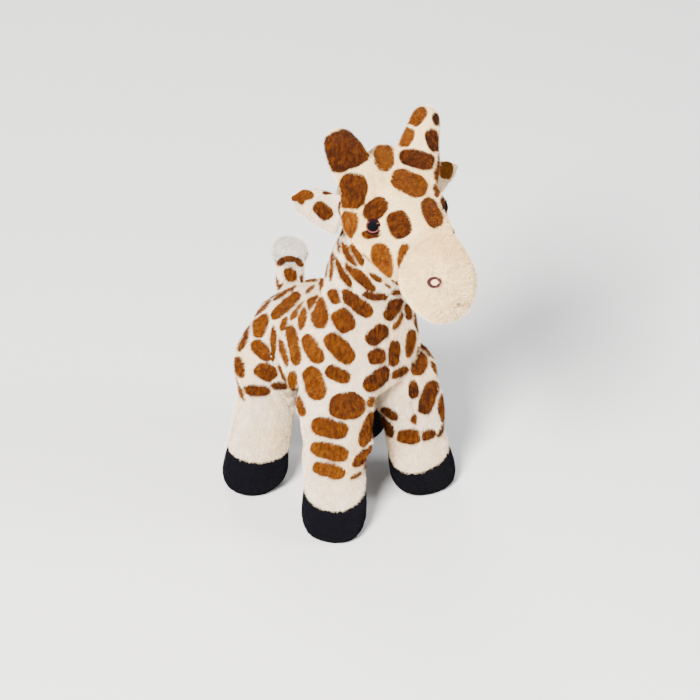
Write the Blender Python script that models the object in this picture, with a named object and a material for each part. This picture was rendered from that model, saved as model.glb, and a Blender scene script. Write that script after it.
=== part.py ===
"""A stuffed plush giraffe calf, standing, with its head turned a little to its right.

Each cover is a piece of plush fabric with its own thickness, and the fibre filling is a separate
body inside it. The legs, neck, head, ears and tail seat in the body with round ends, so that each
can bend at its seam. The giraffe faces -Y, its left side is +X, and it stands on Z = 0.
"""

import math

import bmesh
import bpy
import numpy as np
from mathutils import Matrix, Vector

# Fabric and fits
FABRIC = 0.0020
SEAM = 0.0003
CORNER_GAP = 0.0012
SEAT = 0.0005
FILLING_GAP = 0.0009

# Heights that the whole giraffe stands on
FRONT_HIP_HEIGHT = 0.0880
REAR_HIP_RISE = 0.0080
BODY_ABOVE_HIP = 0.0260
NECK_LENGTH = 0.0815

# Body
BODY_LENGTH = 0.1100
BODY_WIDTH = 0.0910
BACK_RISE = 0.0290
BELLY_DROP = 0.0320
BODY_ROUNDING_SHARE = 0.74
BODY_WIDTH_SHARES = (1.00, 1.00, 0.98, 1.00, 0.98)
BODY_RISE_SHARES = (0.90, 0.96, 1.00, 1.02, 1.00)
BELLY_GUSSET_ANGLE_SHARE = 0.12
BELLY_GUSSET_SPAN_SHARES = (0.12, 0.90)

# Frame: the origin is on the ground under the middle of the whole giraffe
CHEST_FROM_ORIGIN = 0.0105

# Legs: each hip is set in from the body's end and side, and each foot stands out from its hip
FRONT_HIP_INSET = 0.0225
REAR_HIP_INSET = 0.0285
FRONT_HIP_FROM_SIDE = 0.0172
REAR_HIP_FROM_SIDE = 0.0128
FRONT_FOOT_STEP = (0.0142, -0.0120)
REAR_FOOT_STEP = (0.0150, 0.0065)
FRONT_HIP_RADIUS = 0.0242
REAR_HIP_RADIUS = 0.0260
HIP_RIM_RADIUS = 0.0050
ANKLE_RADIUS = 0.0193
CUFF_RADIUS = 0.0208
FRONT_CREAM_TOP = 0.0470
REAR_CREAM_TOP = 0.0720
HOOF_TOP = 0.0250
HOOF_RADIUS = 0.0218
HOOF_TOP_RADIUS = 0.0213
HOOF_BULGE_HEIGHT = 0.0130
SOLE_RADIUS = 0.0150
LEG_SWING_OUT = 14
LEG_SWING_IN = 8

# Neck
NECK_ROOT_INSET = 0.0320
NECK_ROOT_RISE = 0.0140
NECK_TILT = 11
NECK_ROOT_WIDTH = 0.0790
NECK_ROOT_DEPTH = 0.0640
NECK_ROOT_DROP = 0.0140
NECK_TOP_RADIUS = 0.0220
NECK_WIDTH_SHARES = (1.00, 0.88, 0.795, 0.750, 0.680, 0.579)
NECK_DEPTH_SHARES = (1.00, 0.90, 0.82, 0.785, 0.765, 0.733)
NECK_MOUTH_FLARE = 0.0053
NECK_LEAN = 8

# Head, in its own frame: it faces -Y, and its centre is the middle of the skull
HEAD_FROM_NECK = (-0.0022, -0.0112, 0.0344)
HEAD_TURN = -14
HEAD_NOD = 16
HEAD_WIDTH = 0.0620
HEAD_RISE = 0.0325
HEAD_DROP = 0.0330
HEAD_BACK = 0.0300
MUZZLE_SEAM = 0.0570
HEAD_WIDTH_SHARES = (1.00, 0.975, 0.885, 0.77, 0.665)
HEAD_RISE_SHARES = (1.00, 1.00, 0.99, 0.96, 0.90)
HEAD_DROP_SHARES = (1.00, 1.00, 0.98, 0.93, 0.84)
FOREHEAD_ANGLE_SHARE = 0.23
HEAD_SWING_LEFT = 44
HEAD_SWING_RIGHT = 16

# Muzzle
MUZZLE_LENGTH = 0.0450
MUZZLE_WIDTH = 0.0450
MUZZLE_HEIGHT = 0.0590
MUZZLE_RISE = 0.0020
MUZZLE_START_SHARE = 0.93
MUZZLE_NOSE_SHARE = 0.62

# Horns, ears and tail
HORN_ROOT = (0.0165, -0.0028, 0.0180)
HORN_TIP = (0.0338, 0.0204, 0.0552)
HORN_ROOT_RADIUS = 0.0160
HORN_TIP_RADIUS = 0.0096
EAR_ROOT = (0.0305, 0.0046, -0.0060)
EAR_TIP = (0.0610, 0.0157, 0.0040)
EAR_WIDTH = 0.0250
EAR_WIDTH_SHARES = (1.00, 1.00, 0.96, 0.88, 0.75, 0.52, 0.00)
EAR_TIP_THIN_SHARE = 0.55
EAR_FABRIC = 0.0022
EAR_BEAD_RADIUS = 0.0032
EAR_CUP = 0.0040
EAR_PITCH = 26
LEFT_EAR_SAG = 0.0070
EAR_SWING_FORWARD = 12
EAR_SWING_BACK = 12
TAIL_INSET = 0.0090
TAIL_RISE = 0.0090
TAIL_RADIUS = 0.0090
TAIL_LENGTH = 0.0260
TAIL_SWING_BACK = 35
TAIL_SWING_FORWARD = 12
TASSEL_RADIUS = 0.0116
TASSEL_HEIGHT = 0.0220
TASSEL_ROUNDING_SHARE = 0.8

# Embroidery
EYE_AHEAD = 0.0285
EYE_RISE_SHARE = 0.43
EYE_RADIUS = 0.0050
NOSTRIL_AHEAD = 0.0895
NOSTRIL_RISE_SHARE = 0.66
NOSTRIL_RADIUS = 0.0046
NOSTRIL_HOLE_SHARE = 0.52
THREAD = 0.0010
THREAD_LIFT = 0.0006
THREAD_CROWN_SHARE = 0.8

# Places that follow from these sizes
BODY_HEIGHT = FRONT_HIP_HEIGHT + BODY_ABOVE_HIP
CHEST_END = -CHEST_FROM_ORIGIN
RUMP_END = CHEST_END + BODY_LENGTH
FRONT_HIP = (BODY_WIDTH / 2 - FRONT_HIP_FROM_SIDE, CHEST_END + FRONT_HIP_INSET, FRONT_HIP_HEIGHT)
REAR_HIP = (BODY_WIDTH / 2 - REAR_HIP_FROM_SIDE, RUMP_END - REAR_HIP_INSET,
            FRONT_HIP_HEIGHT + REAR_HIP_RISE)
NECK_ROOT = (0.0, CHEST_END + NECK_ROOT_INSET, BODY_HEIGHT + NECK_ROOT_RISE)
NECK_WAY = (0.0, -math.sin(math.radians(NECK_TILT)), math.cos(math.radians(NECK_TILT)))
NECK_TOP = tuple(root + NECK_LENGTH * way for root, way in zip(NECK_ROOT, NECK_WAY))
HEAD_CENTRE = tuple(top + step for top, step in zip(NECK_TOP, HEAD_FROM_NECK))
TAIL_ROOT = (0.0, RUMP_END - TAIL_INSET, BODY_HEIGHT + TAIL_RISE)

# Colours
CREAM = (0.80, 0.71, 0.60)
PRINTED = (0.62, 0.42, 0.24)
BLACK = (0.012, 0.010, 0.017)
WHITE = (0.84, 0.80, 0.72)
FILLING = (0.90, 0.90, 0.90)
THREAD_DARK = (0.08, 0.015, 0.02)
PLUSH_ROUGHNESS = 0.95

# Rows and facets
BODY_ROWS = 10
BODY_SIDES = 22
BODY_FILLING_SIDES = 14
GUSSET_SIDES = 6
HIP_BALL_ROWS = 4
HOOF_ROUND_ROWS = 3
NECK_END_ROWS = 4
NECK_LINE_ROWS = 5
NECK_HIDDEN_ROWS = 2
HEAD_BACK_ROWS = 5
HEAD_FRONT_ROWS = 4
MUZZLE_SWELL_ROWS = 2
MUZZLE_NOSE_ROWS = 5
HORN_ROWS = 3
TAIL_ROWS = 3
TASSEL_ROWS = 8
EAR_COLUMNS = 4
FOREHEAD_SIDES = 8
HEAD_SIDES = 20
HEAD_FILLING_SIDES = 16
NECK_SIDES = 18
LIMB_SIDES = 14
SMALL_SIDES = 10
CORE_SIDES = 6

X = np.array((1.0, 0.0, 0.0))
Y = np.array((0.0, 1.0, 0.0))
Z = np.array((0.0, 0.0, 1.0))
QUARTER = math.pi / 2

SIDES = {"left": 1, "right": -1}


class Row:
    """One cross-section of a soft form: an oval of its own, upright or level."""

    def __init__(self, centre, across, above, below=None):
        self.centre = np.array(centre, dtype=float)
        self.across = across
        self.above = above
        self.below = above if below is None else below


class Form:
    """A soft form: ovals strung along a line, each in the plane of the side and up directions."""

    def __init__(self, rows, side=X, up=Z):
        self.rows = rows
        self.side = np.array(side, dtype=float)
        self.up = np.array(up, dtype=float)

    def point(self, index, angle):
        row = self.rows[index]
        height = row.above if math.sin(angle) > 0 else row.below
        return (row.centre + self.side * row.across * math.cos(angle)
                + self.up * height * math.sin(angle))

    def around(self, index, angle):
        row = self.rows[index]
        height = row.above if math.sin(angle) > 0 else row.below
        way = -self.side * row.across * math.sin(angle) + self.up * height * math.cos(angle)
        return way / np.linalg.norm(way)

    def along(self, index, angle):
        before = max(index - 1, 0)
        after = min(index + 1, len(self.rows) - 1)
        way = self.point(after, angle) - self.point(before, angle)
        return way / np.linalg.norm(way)

    def is_pole(self, index):
        return self.rows[index].across < SEAM

    def outward(self, index, angle):
        if self.is_pole(index):
            other = 1 if index == 0 else index - 1
            way = self.rows[index].centre - self.rows[other].centre
            return way / np.linalg.norm(way)
        way = np.cross(self.around(index, angle), self.along(index, angle))
        way = way / np.linalg.norm(way)
        radial = self.point(index, angle) - self.rows[index].centre
        return way if np.dot(way, radial) > 0 else -way


def share_at(shares, where):
    """Read a table of shares at a place from 0 to 1 along it."""
    return float(np.interp(where, np.linspace(0.0, 1.0, len(shares)), shares))


def ease(low, high, share):
    """Go smoothly from one size to another, with no slope at either end."""
    return low + (high - low) * (1 - math.cos(math.pi * share)) / 2


def empty_scene():
    for thing in list(bpy.data.objects):
        bpy.data.objects.remove(thing, do_unlink=True)


def finish(name, colour):
    material = bpy.data.materials.new(name)
    material.use_nodes = True
    shader = material.node_tree.nodes["Principled BSDF"]
    shader.inputs["Base Color"].default_value = (*colour, 1.0)
    shader.inputs["Roughness"].default_value = PLUSH_ROUGHNESS
    shader.inputs["Metallic"].default_value = 0.0
    material.diffuse_color = (*colour, 1.0)
    return material


def add_object(name, mesh_data, colour, parent=None):
    """Add a finished mesh, given in the parent's own frame, as a named piece."""
    mesh = bpy.data.meshes.new(name)
    mesh_data.to_mesh(mesh)
    mesh_data.free()
    thing = bpy.data.objects.new(name, mesh)
    bpy.context.collection.objects.link(thing)
    mesh.shade_smooth()
    mesh.materials.append(finish(name, colour))
    thing.parent = parent
    return thing


def add_guide(name, mesh_data, parent=None):
    """Add a closed shape that only cuts other pieces."""
    mesh = bpy.data.meshes.new(name)
    mesh_data.to_mesh(mesh)
    mesh_data.free()
    thing = bpy.data.objects.new(name, mesh)
    bpy.context.collection.objects.link(thing)
    thing.parent = parent
    thing.hide_render = True
    thing.display_type = "WIRE"
    return thing


def add_pivot(name, place, parent=None, turn=None):
    """Add an empty on a joint's axis; its place is given in the world."""
    pivot = bpy.data.objects.new(name, None)
    bpy.context.collection.objects.link(pivot)
    pivot.empty_display_size = SOLE_RADIUS
    world = Matrix.Translation(Vector(place)) @ (turn or Matrix.Identity(4))
    pivot.parent = parent
    if parent is not None:
        bpy.context.view_layer.update()
        world = parent.matrix_world.inverted() @ world
    pivot.matrix_basis = world
    bpy.context.view_layer.update()
    return pivot


def cut(piece, *guides):
    for guide in guides:
        step = piece.modifiers.new(guide.name, "BOOLEAN")
        step.operation = "DIFFERENCE"
        step.solver = "EXACT"
        step.object = guide


def close(mesh_data):
    bmesh.ops.recalc_face_normals(mesh_data, faces=mesh_data.faces)
    return mesh_data


def move(mesh_data, offset):
    bmesh.ops.translate(mesh_data, verts=mesh_data.verts, vec=Vector(offset))
    return mesh_data


def body_of(form, inset, sides, first=0, last=None):
    """A closed body inside a form, in from its surface by the inset, with round or flat ends."""
    last = len(form.rows) - 1 if last is None else last
    mesh_data = bmesh.new()
    rings = []
    for index in range(first, last + 1):
        if form.is_pole(index):
            place = form.point(index, 0.0) - form.outward(index, 0.0) * inset
            rings.append([mesh_data.verts.new(place)])
            continue
        ring = []
        for side in range(sides):
            angle = 2 * math.pi * side / sides - QUARTER
            place = form.point(index, angle) - form.outward(index, angle) * inset
            ring.append(mesh_data.verts.new(place))
        rings.append(ring)
    for low, high in zip(rings, rings[1:]):
        join_rings(mesh_data, low, high, True)
    for ring in (rings[0], rings[-1]):
        if len(ring) > 1:
            mesh_data.faces.new(ring)
    return close(mesh_data)


def join_rings(mesh_data, low, high, whole_turn):
    """Fill between two rings of vertices; either may be a single point."""
    count = max(len(low), len(high))
    spans = count if whole_turn else count - 1
    for side in range(spans):
        after = (side + 1) % count
        corners = [low[side % len(low)], low[after % len(low)],
                   high[after % len(high)], high[side % len(high)]]
        distinct = list(dict.fromkeys(corners))
        if len(distinct) > 2:
            mesh_data.faces.new(distinct)


def cover_of(form, wall, sides, first=0, last=None, span=None):
    """A piece of fabric that lies on a form: its outer face on the surface, its wall inwards.

    It runs from one row to another, and either all the way round or over a span of angles, which
    is a function of the row. Every cut edge is drawn back by half a seam.
    """
    last = len(form.rows) - 1 if last is None else last
    mesh_data = bmesh.new()
    outer_rings, inner_rings = [], []
    for index in range(first, last + 1):
        start, end = span(index) if span else (-QUARTER, 3 * QUARTER)
        single = form.is_pole(index) or end - start < SEAM
        columns = 1 if single else (sides if span is None else sides + 1)
        outer, inner = [], []
        for column in range(columns):
            angle = (start + end) / 2 if single else start + (end - start) * column / sides
            place = form.point(index, angle)
            if not form.is_pole(index):
                along, around = form.along(index, angle), form.around(index, angle)
                if index == first:
                    place = place + along * (CORNER_GAP if single else SEAM / 2)
                if index == last:
                    place = place - along * (CORNER_GAP if single else SEAM / 2)
                if span and column == 0 and not single:
                    place = place + around * SEAM / 2
                if span and column == columns - 1 and not single:
                    place = place - around * SEAM / 2
            elif span:
                middle = form.side * math.cos(angle) + form.up * math.sin(angle)
                place = place + middle * SEAM / 2
            outer.append(mesh_data.verts.new(place))
            inner.append(mesh_data.verts.new(place - form.outward(index, angle) * wall))
        outer_rings.append(outer)
        inner_rings.append(inner)
    whole = span is None
    for step in range(len(outer_rings) - 1):
        join_rings(mesh_data, outer_rings[step], outer_rings[step + 1], whole)
        join_rings(mesh_data, inner_rings[step + 1], inner_rings[step], whole)
        if not whole:
            for edge in (0, -1):
                corners = [outer_rings[step][edge], outer_rings[step + 1][edge],
                           inner_rings[step + 1][edge], inner_rings[step][edge]]
                mesh_data.faces.new(corners if edge else corners[::-1])
    for end in (0, -1):
        if len(outer_rings[end]) > 1:
            join_rings(mesh_data, inner_rings[end], outer_rings[end], whole)
    return close(mesh_data)


def hull_of(points):
    mesh_data = bmesh.new()
    for place in points:
        mesh_data.verts.new(place)
    bmesh.ops.convex_hull(mesh_data, input=mesh_data.verts, use_existing_faces=False)
    loose = [vertex for vertex in mesh_data.verts if not vertex.link_faces]
    bmesh.ops.delete(mesh_data, geom=loose, context="VERTS")
    return close(mesh_data)


def turned_points(points, pivot, axis, degrees):
    turn = np.array(Matrix.Rotation(math.radians(degrees), 3, Vector(axis)))
    return [turn @ (place - pivot) + pivot for place in points]


def form_points(form, sides, grow, first=0, last=None):
    last = len(form.rows) - 1 if last is None else last
    points = []
    for index in range(first, last + 1):
        for side in range(1 if form.is_pole(index) else sides):
            angle = 2 * math.pi * side / sides - QUARTER
            points.append(form.point(index, angle) + form.outward(index, angle) * grow)
    return points


def mirrored(place, side):
    return np.array((place[0] * side, place[1], place[2]))


def body_form():
    rows = []
    for index in range(BODY_ROWS + 1):
        angle = math.pi * index / BODY_ROWS
        along = (1 - math.cos(angle)) / 2
        rounding = math.sin(angle) ** BODY_ROUNDING_SHARE if 0 < index < BODY_ROWS else 0.0
        centre = (0.0, CHEST_END + BODY_LENGTH * along, BODY_HEIGHT)
        across = BODY_WIDTH / 2 * share_at(BODY_WIDTH_SHARES, along) * rounding
        rise = BACK_RISE * share_at(BODY_RISE_SHARES, along) * rounding
        rows.append(Row(centre, across, rise, BELLY_DROP * rounding))
    return Form(rows)


def leg_centre(hip, foot, height):
    lean = (hip[2] - height) / hip[2]
    return hip[0] + (foot[0] - hip[0]) * lean, hip[1] + (foot[1] - hip[1]) * lean, height


def leg_form(hip, foot, hip_radius, cream_top):
    """The leg's rows from the ball in the hip down to the hoof, and the row of its cream seam."""
    rows = [Row((hip[0], hip[1], hip[2] + hip_radius), 0.0, 0.0)]
    rim_angle = math.asin(HIP_RIM_RADIUS / hip_radius)
    for step in range(HIP_BALL_ROWS):
        angle = rim_angle + (QUARTER - rim_angle) * step / HIP_BALL_ROWS
        radius = hip_radius * math.sin(angle)
        rows.append(Row((hip[0], hip[1], hip[2] + hip_radius * math.cos(angle)), radius, radius))
    heights = list(np.linspace(hip[2], cream_top, 4))
    heights += list(np.linspace(cream_top, HOOF_TOP, 3))[1:]
    for height in heights:
        if height >= cream_top:
            radius = ease(hip_radius, ANKLE_RADIUS, (hip[2] - height) / (hip[2] - cream_top))
        else:
            radius = ease(ANKLE_RADIUS, CUFF_RADIUS, (cream_top - height) / (cream_top - HOOF_TOP))
        rows.append(Row(leg_centre(hip, foot, height), radius, radius))
    return Form(rows, X, Y), HIP_BALL_ROWS + heights.index(cream_top) + 1


def hoof_form(hip, foot):
    rows = []
    for height in np.linspace(HOOF_TOP, HOOF_BULGE_HEIGHT, 3):
        share = (HOOF_TOP - height) / (HOOF_TOP - HOOF_BULGE_HEIGHT)
        radius = ease(HOOF_TOP_RADIUS, HOOF_RADIUS, share)
        rows.append(Row(leg_centre(hip, foot, height), radius, radius))
    for step in range(1, HOOF_ROUND_ROWS + 1):
        angle = QUARTER * step / HOOF_ROUND_ROWS
        radius = SOLE_RADIUS + (HOOF_RADIUS - SOLE_RADIUS) * math.cos(angle)
        height = HOOF_BULGE_HEIGHT * (1 - math.sin(angle))
        rows.append(Row(leg_centre(hip, foot, height), radius, radius))
    return Form(rows, X, Y)


def neck_form():
    """The neck's rows from the rounded root in the chest up to the ball in the head."""
    root, way = np.array(NECK_ROOT), np.array(NECK_WAY)
    half_width, half_depth = NECK_ROOT_WIDTH / 2, NECK_ROOT_DEPTH / 2
    rows = []
    for step in range(NECK_END_ROWS):
        angle = QUARTER * step / NECK_END_ROWS
        share = math.sin(angle)
        centre = root - way * NECK_ROOT_DROP * math.cos(angle)
        rows.append(Row(centre, half_width * share, half_depth * share))
    for step in range(NECK_LINE_ROWS + 1):
        along = step / NECK_LINE_ROWS
        rows.append(Row(root + way * NECK_LENGTH * along,
                        half_width * share_at(NECK_WIDTH_SHARES, along),
                        half_depth * share_at(NECK_DEPTH_SHARES, along)))
    rows[-1] = Row(rows[-1].centre, NECK_TOP_RADIUS, NECK_TOP_RADIUS)
    for step in range(1, NECK_END_ROWS + 1):
        angle = QUARTER * step / NECK_END_ROWS
        radius = NECK_TOP_RADIUS * math.cos(angle) if step < NECK_END_ROWS else 0.0
        centre = np.array(NECK_TOP) + way * NECK_TOP_RADIUS * math.sin(angle)
        rows.append(Row(centre, radius, radius))
    return Form(rows, X, np.cross(way, X))


def head_form():
    """The skull and cheeks in the head's own frame, from the back of the head to the muzzle."""
    rows = []
    for step in range(HEAD_BACK_ROWS):
        angle = QUARTER * step / HEAD_BACK_ROWS
        share = math.sin(angle)
        centre = (0.0, HEAD_BACK * math.cos(angle), 0.0)
        rows.append(Row(centre, HEAD_WIDTH / 2 * share, HEAD_RISE * share, HEAD_DROP * share))
    for step in range(HEAD_FRONT_ROWS + 1):
        along = step / HEAD_FRONT_ROWS
        centre = (0.0, -MUZZLE_SEAM * along, MUZZLE_RISE * along ** 2)
        rows.append(Row(centre, HEAD_WIDTH / 2 * share_at(HEAD_WIDTH_SHARES, along),
                        HEAD_RISE * share_at(HEAD_RISE_SHARES, along),
                        HEAD_DROP * share_at(HEAD_DROP_SHARES, along)))
    return Form(rows)


def muzzle_form():
    rows = []
    middle = MUZZLE_LENGTH * (1 - MUZZLE_NOSE_SHARE)
    for step in range(MUZZLE_SWELL_ROWS + 1):
        along = step / MUZZLE_SWELL_ROWS
        share = MUZZLE_START_SHARE + (1 - MUZZLE_START_SHARE) * math.sin(QUARTER * along)
        centre = (0.0, -MUZZLE_SEAM - middle * along, MUZZLE_RISE)
        rows.append(Row(centre, MUZZLE_WIDTH / 2 * share, MUZZLE_HEIGHT / 2 * share))
    for step in range(1, MUZZLE_NOSE_ROWS + 1):
        angle = QUARTER * step / MUZZLE_NOSE_ROWS
        share = math.cos(angle) if step < MUZZLE_NOSE_ROWS else 0.0
        reach = MUZZLE_LENGTH * MUZZLE_NOSE_SHARE * math.sin(angle)
        centre = (0.0, -MUZZLE_SEAM - middle - reach, MUZZLE_RISE)
        rows.append(Row(centre, MUZZLE_WIDTH / 2 * share, MUZZLE_HEIGHT / 2 * share))
    return Form(rows)


def horn_form(side):
    root, tip = mirrored(HORN_ROOT, side), mirrored(HORN_TIP, side)
    length = np.linalg.norm(tip - root)
    way = (tip - root) / length
    across = np.cross(way, Y)
    across = across / np.linalg.norm(across)
    rows = []
    shaft = length - HORN_TIP_RADIUS
    for step in range(HORN_ROWS + 1):
        share = step / HORN_ROWS
        radius = ease(HORN_ROOT_RADIUS, HORN_TIP_RADIUS, share)
        rows.append(Row(root + way * shaft * share, radius, radius))
    for step in range(1, HORN_ROWS + 1):
        angle = QUARTER * step / HORN_ROWS
        radius = HORN_TIP_RADIUS * math.cos(angle) if step < HORN_ROWS else 0.0
        rows.append(Row(root + way * (shaft + HORN_TIP_RADIUS * math.sin(angle)), radius, radius))
    return Form(rows, across, np.cross(way, across))


def tail_form():
    root = np.array(TAIL_ROOT)
    rows = []
    for step in range(HIP_BALL_ROWS):
        angle = QUARTER * step / HIP_BALL_ROWS
        radius = TAIL_RADIUS * math.sin(angle)
        rows.append(Row(root - Z * TAIL_RADIUS * math.cos(angle), radius, radius))
    for step in range(TAIL_ROWS + 1):
        rows.append(Row(root + Z * TAIL_LENGTH * step / TAIL_ROWS, TAIL_RADIUS, TAIL_RADIUS))
    return Form(rows, X, Y)


def tassel_form():
    base = np.array(TAIL_ROOT) + Z * TAIL_LENGTH
    cut_rise = math.cos(math.pi / TASSEL_ROWS)
    rows = []
    for step in range(1, TASSEL_ROWS + 1):
        angle = math.pi * step / TASSEL_ROWS
        share = math.sin(angle) ** TASSEL_ROUNDING_SHARE if step < TASSEL_ROWS else 0.0
        height = TASSEL_HEIGHT * (cut_rise - math.cos(angle)) / 2
        rows.append(Row(base + Z * height, TASSEL_RADIUS * share, TASSEL_RADIUS * share))
    return Form(rows, X, Y)


def swing_guide(torso, name, form, pivot, swing, last, sides):
    """A closed shape that clears a limb's round end and its sweep between its limits about X."""
    limb = form_points(form, sides, SEAT, 0, last)
    pivot = np.array(pivot)
    points = list(limb)
    for degrees in swing:
        points += turned_points(limb, pivot, X, degrees)
    return add_guide(name, hull_of(points), torso)


def build_body(torso, guides):
    form = body_form()
    last = len(form.rows) - 1
    first_row = round(last * BELLY_GUSSET_SPAN_SHARES[0])
    last_row = round(last * BELLY_GUSSET_SPAN_SHARES[1])

    def gusset_half(index):
        if index <= first_row or index >= last_row:
            return 0.0
        share = (index - first_row) / (last_row - first_row)
        return math.pi * BELLY_GUSSET_ANGLE_SHARE * math.sqrt(math.sin(math.pi * share))

    spans = {"torso_panel_left": lambda index: (-QUARTER + gusset_half(index), QUARTER),
             "torso_panel_right": lambda index: (QUARTER, 3 * QUARTER - gusset_half(index))}
    for name, span in spans.items():
        panel = cover_of(form, FABRIC, BODY_SIDES // 2, span=span)
        cut(add_object(name, panel, PRINTED, torso), *guides)
    gusset = cover_of(form, FABRIC, GUSSET_SIDES, first_row, last_row,
                      lambda index: (-QUARTER - gusset_half(index), -QUARTER + gusset_half(index)))
    cut(add_object("belly_gusset", gusset, PRINTED, torso), *guides)
    filling = body_of(form, FABRIC + FILLING_GAP, BODY_FILLING_SIDES)
    cut(add_object("torso_stuffing", filling, FILLING, torso), *guides)


def build_leg(torso, end, side_name):
    side = SIDES[side_name]
    front = end == "front"
    hip = mirrored(FRONT_HIP if front else REAR_HIP, side)
    step_out, step_along = FRONT_FOOT_STEP if front else REAR_FOOT_STEP
    foot = (hip[0] + step_out * side, hip[1] + step_along)
    radius = FRONT_HIP_RADIUS if front else REAR_HIP_RADIUS
    cream_top = FRONT_CREAM_TOP if front else REAR_CREAM_TOP
    form, cream_row = leg_form(hip, foot, radius, cream_top)
    hoof = hoof_form(hip, foot)
    name = f"{end}_{side_name}"
    pivot = add_pivot(f"hip_{name}", hip, torso)
    last = len(form.rows) - 1

    def seat(mesh_data):
        return move(mesh_data, -hip)

    outer = (-QUARTER, QUARTER) if side > 0 else (QUARTER, 3 * QUARTER)
    inner = (QUARTER, 3 * QUARTER) if side > 0 else (-QUARTER, QUARTER)
    half_sides = LIMB_SIDES // 2
    rim_row = 1
    for part, span in (("outer", outer), ("inner", inner)):
        panel = cover_of(form, FABRIC, half_sides, rim_row, cream_row, lambda index, span=span: span)
        add_object(f"leg_{part}_{name}", seat(panel), PRINTED, pivot)
    lower = cover_of(form, FABRIC, LIMB_SIDES, cream_row, last)
    add_object(f"leg_lower_{name}", seat(lower), CREAM, pivot)
    hoof_cover = cover_of(hoof, FABRIC, LIMB_SIDES)
    add_object(f"hoof_{name}", seat(hoof_cover), BLACK, pivot)
    ground = leg_centre(hip, foot, 0.0)
    sole_radius = SOLE_RADIUS - SEAM
    sole = Form([Row(ground, sole_radius, sole_radius),
                 Row(leg_centre(hip, foot, FABRIC), sole_radius - FABRIC, sole_radius - FABRIC)], X, Y)
    add_object(f"sole_{name}", seat(body_of(sole, 0.0, LIMB_SIDES)), BLACK, pivot)
    foot_radius = (SOLE_RADIUS + HOOF_RADIUS) / 2
    foot_row = Row(leg_centre(hip, foot, FABRIC + FILLING_GAP), foot_radius, foot_radius)
    core = Form(form.rows[:-1] + hoof.rows[1:3] + [foot_row], X, Y)
    filling = body_of(core, FABRIC + FILLING_GAP, SMALL_SIDES)
    add_object(f"leg_stuffing_{name}", seat(filling), FILLING, pivot)
    swing = (-LEG_SWING_OUT, LEG_SWING_IN) if front else (-LEG_SWING_IN, LEG_SWING_OUT)
    return swing_guide(torso, f"hip_socket_{name}", form, hip, swing, cream_row, LIMB_SIDES)


def build_neck(torso):
    form = neck_form()
    root = np.array(NECK_ROOT)
    pivot = add_pivot("neck_root", root, torso)
    last_row = len(form.rows) - 1 - NECK_HIDDEN_ROWS
    cover = cover_of(form, FABRIC, NECK_SIDES, NECK_HIDDEN_ROWS, last_row)
    add_object("neck_cover", move(cover, -root), PRINTED, pivot)
    filling = body_of(form, FABRIC + FILLING_GAP, LIMB_SIDES)
    add_object("neck_stuffing", move(filling, -root), FILLING, pivot)
    line_end = NECK_END_ROWS + NECK_LINE_ROWS - 1
    swing = (-NECK_LEAN, NECK_LEAN)
    return pivot, swing_guide(torso, "neck_socket", form, root, swing, line_end, NECK_SIDES)


def head_matrix():
    turn = Matrix.Rotation(math.radians(HEAD_TURN), 4, "Z")
    nod = Matrix.Rotation(math.radians(HEAD_NOD), 4, "X")
    return Matrix.Translation(Vector(HEAD_CENTRE)) @ turn @ nod


def neck_clearance(neck):
    """A round shape about the neck's own line, so that the head can turn on the neck."""
    top, way = np.array(NECK_TOP), np.array(NECK_WAY)
    radius = NECK_TOP_RADIUS + SEAT
    mouth = radius + NECK_MOUTH_FLARE
    rows = [Row(top - way * HEAD_DROP, mouth, mouth)]
    for step in range(HEAD_BACK_ROWS + 1):
        angle = QUARTER * step / HEAD_BACK_ROWS
        share = math.cos(angle) if step < HEAD_BACK_ROWS else 0.0
        rows.append(Row(top + way * radius * math.sin(angle), radius * share, radius * share))
    shape = body_of(Form(rows, X, np.cross(way, X)), 0.0, HEAD_SIDES)
    return add_guide("neck_clearance", move(shape, -np.array(NECK_ROOT)), neck)


def ear_matrix(side):
    sag = LEFT_EAR_SAG if side > 0 else 0.0
    root = Vector(mirrored(EAR_ROOT, side))
    tip = Vector(mirrored(EAR_TIP, side)) - Vector((0.0, 0.0, sag))
    along = (tip - root).normalized()
    up = Vector((0.0, math.sin(math.radians(EAR_PITCH)), math.cos(math.radians(EAR_PITCH))))
    across = (up - along * up.dot(along)).normalized()
    face = along.cross(across)
    turn = Matrix((along, across, face)).transposed().to_4x4()
    return Matrix.Translation(root) @ turn, (tip - root).length


def ear_leaf(length, low, high, front, first=0):
    """One layer of an ear: a leaf from the root to a soft point, cupped along its middle."""
    mesh_data = bmesh.new()
    tip = len(EAR_WIDTH_SHARES) - 1
    start = EAR_BEAD_RADIUS + SEAM
    layers = ([], [])
    for row in range(first, tip + 1):
        along = start + (length - start) * (row - 1) / (tip - 1) if row else 0.0
        share = along / length
        width = EAR_WIDTH / 2 * EAR_WIDTH_SHARES[row]
        thin = 1 - (1 - EAR_TIP_THIN_SHARE) * share
        for layer, height in zip(layers, (low, high)):
            ring = []
            for column in range(EAR_COLUMNS + 1 if row < tip else 1):
                across = 2 * column / EAR_COLUMNS - 1
                cup = EAR_CUP * across ** 2 * math.sin(math.pi * share) * front
                ring.append(mesh_data.verts.new((along, width * across, height * thin + cup)))
            layer.append(ring)
    for layer in layers:
        for near, far in zip(layer, layer[1:]):
            join_rings(mesh_data, near, far, False)
    for step in range(tip - first):
        for edge in (0, -1):
            mesh_data.faces.new([layers[0][step][edge], layers[0][step + 1][edge],
                                 layers[1][step + 1][edge], layers[1][step][edge]])
    join_rings(mesh_data, layers[0][0], layers[1][0], False)
    return close(mesh_data)


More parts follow.
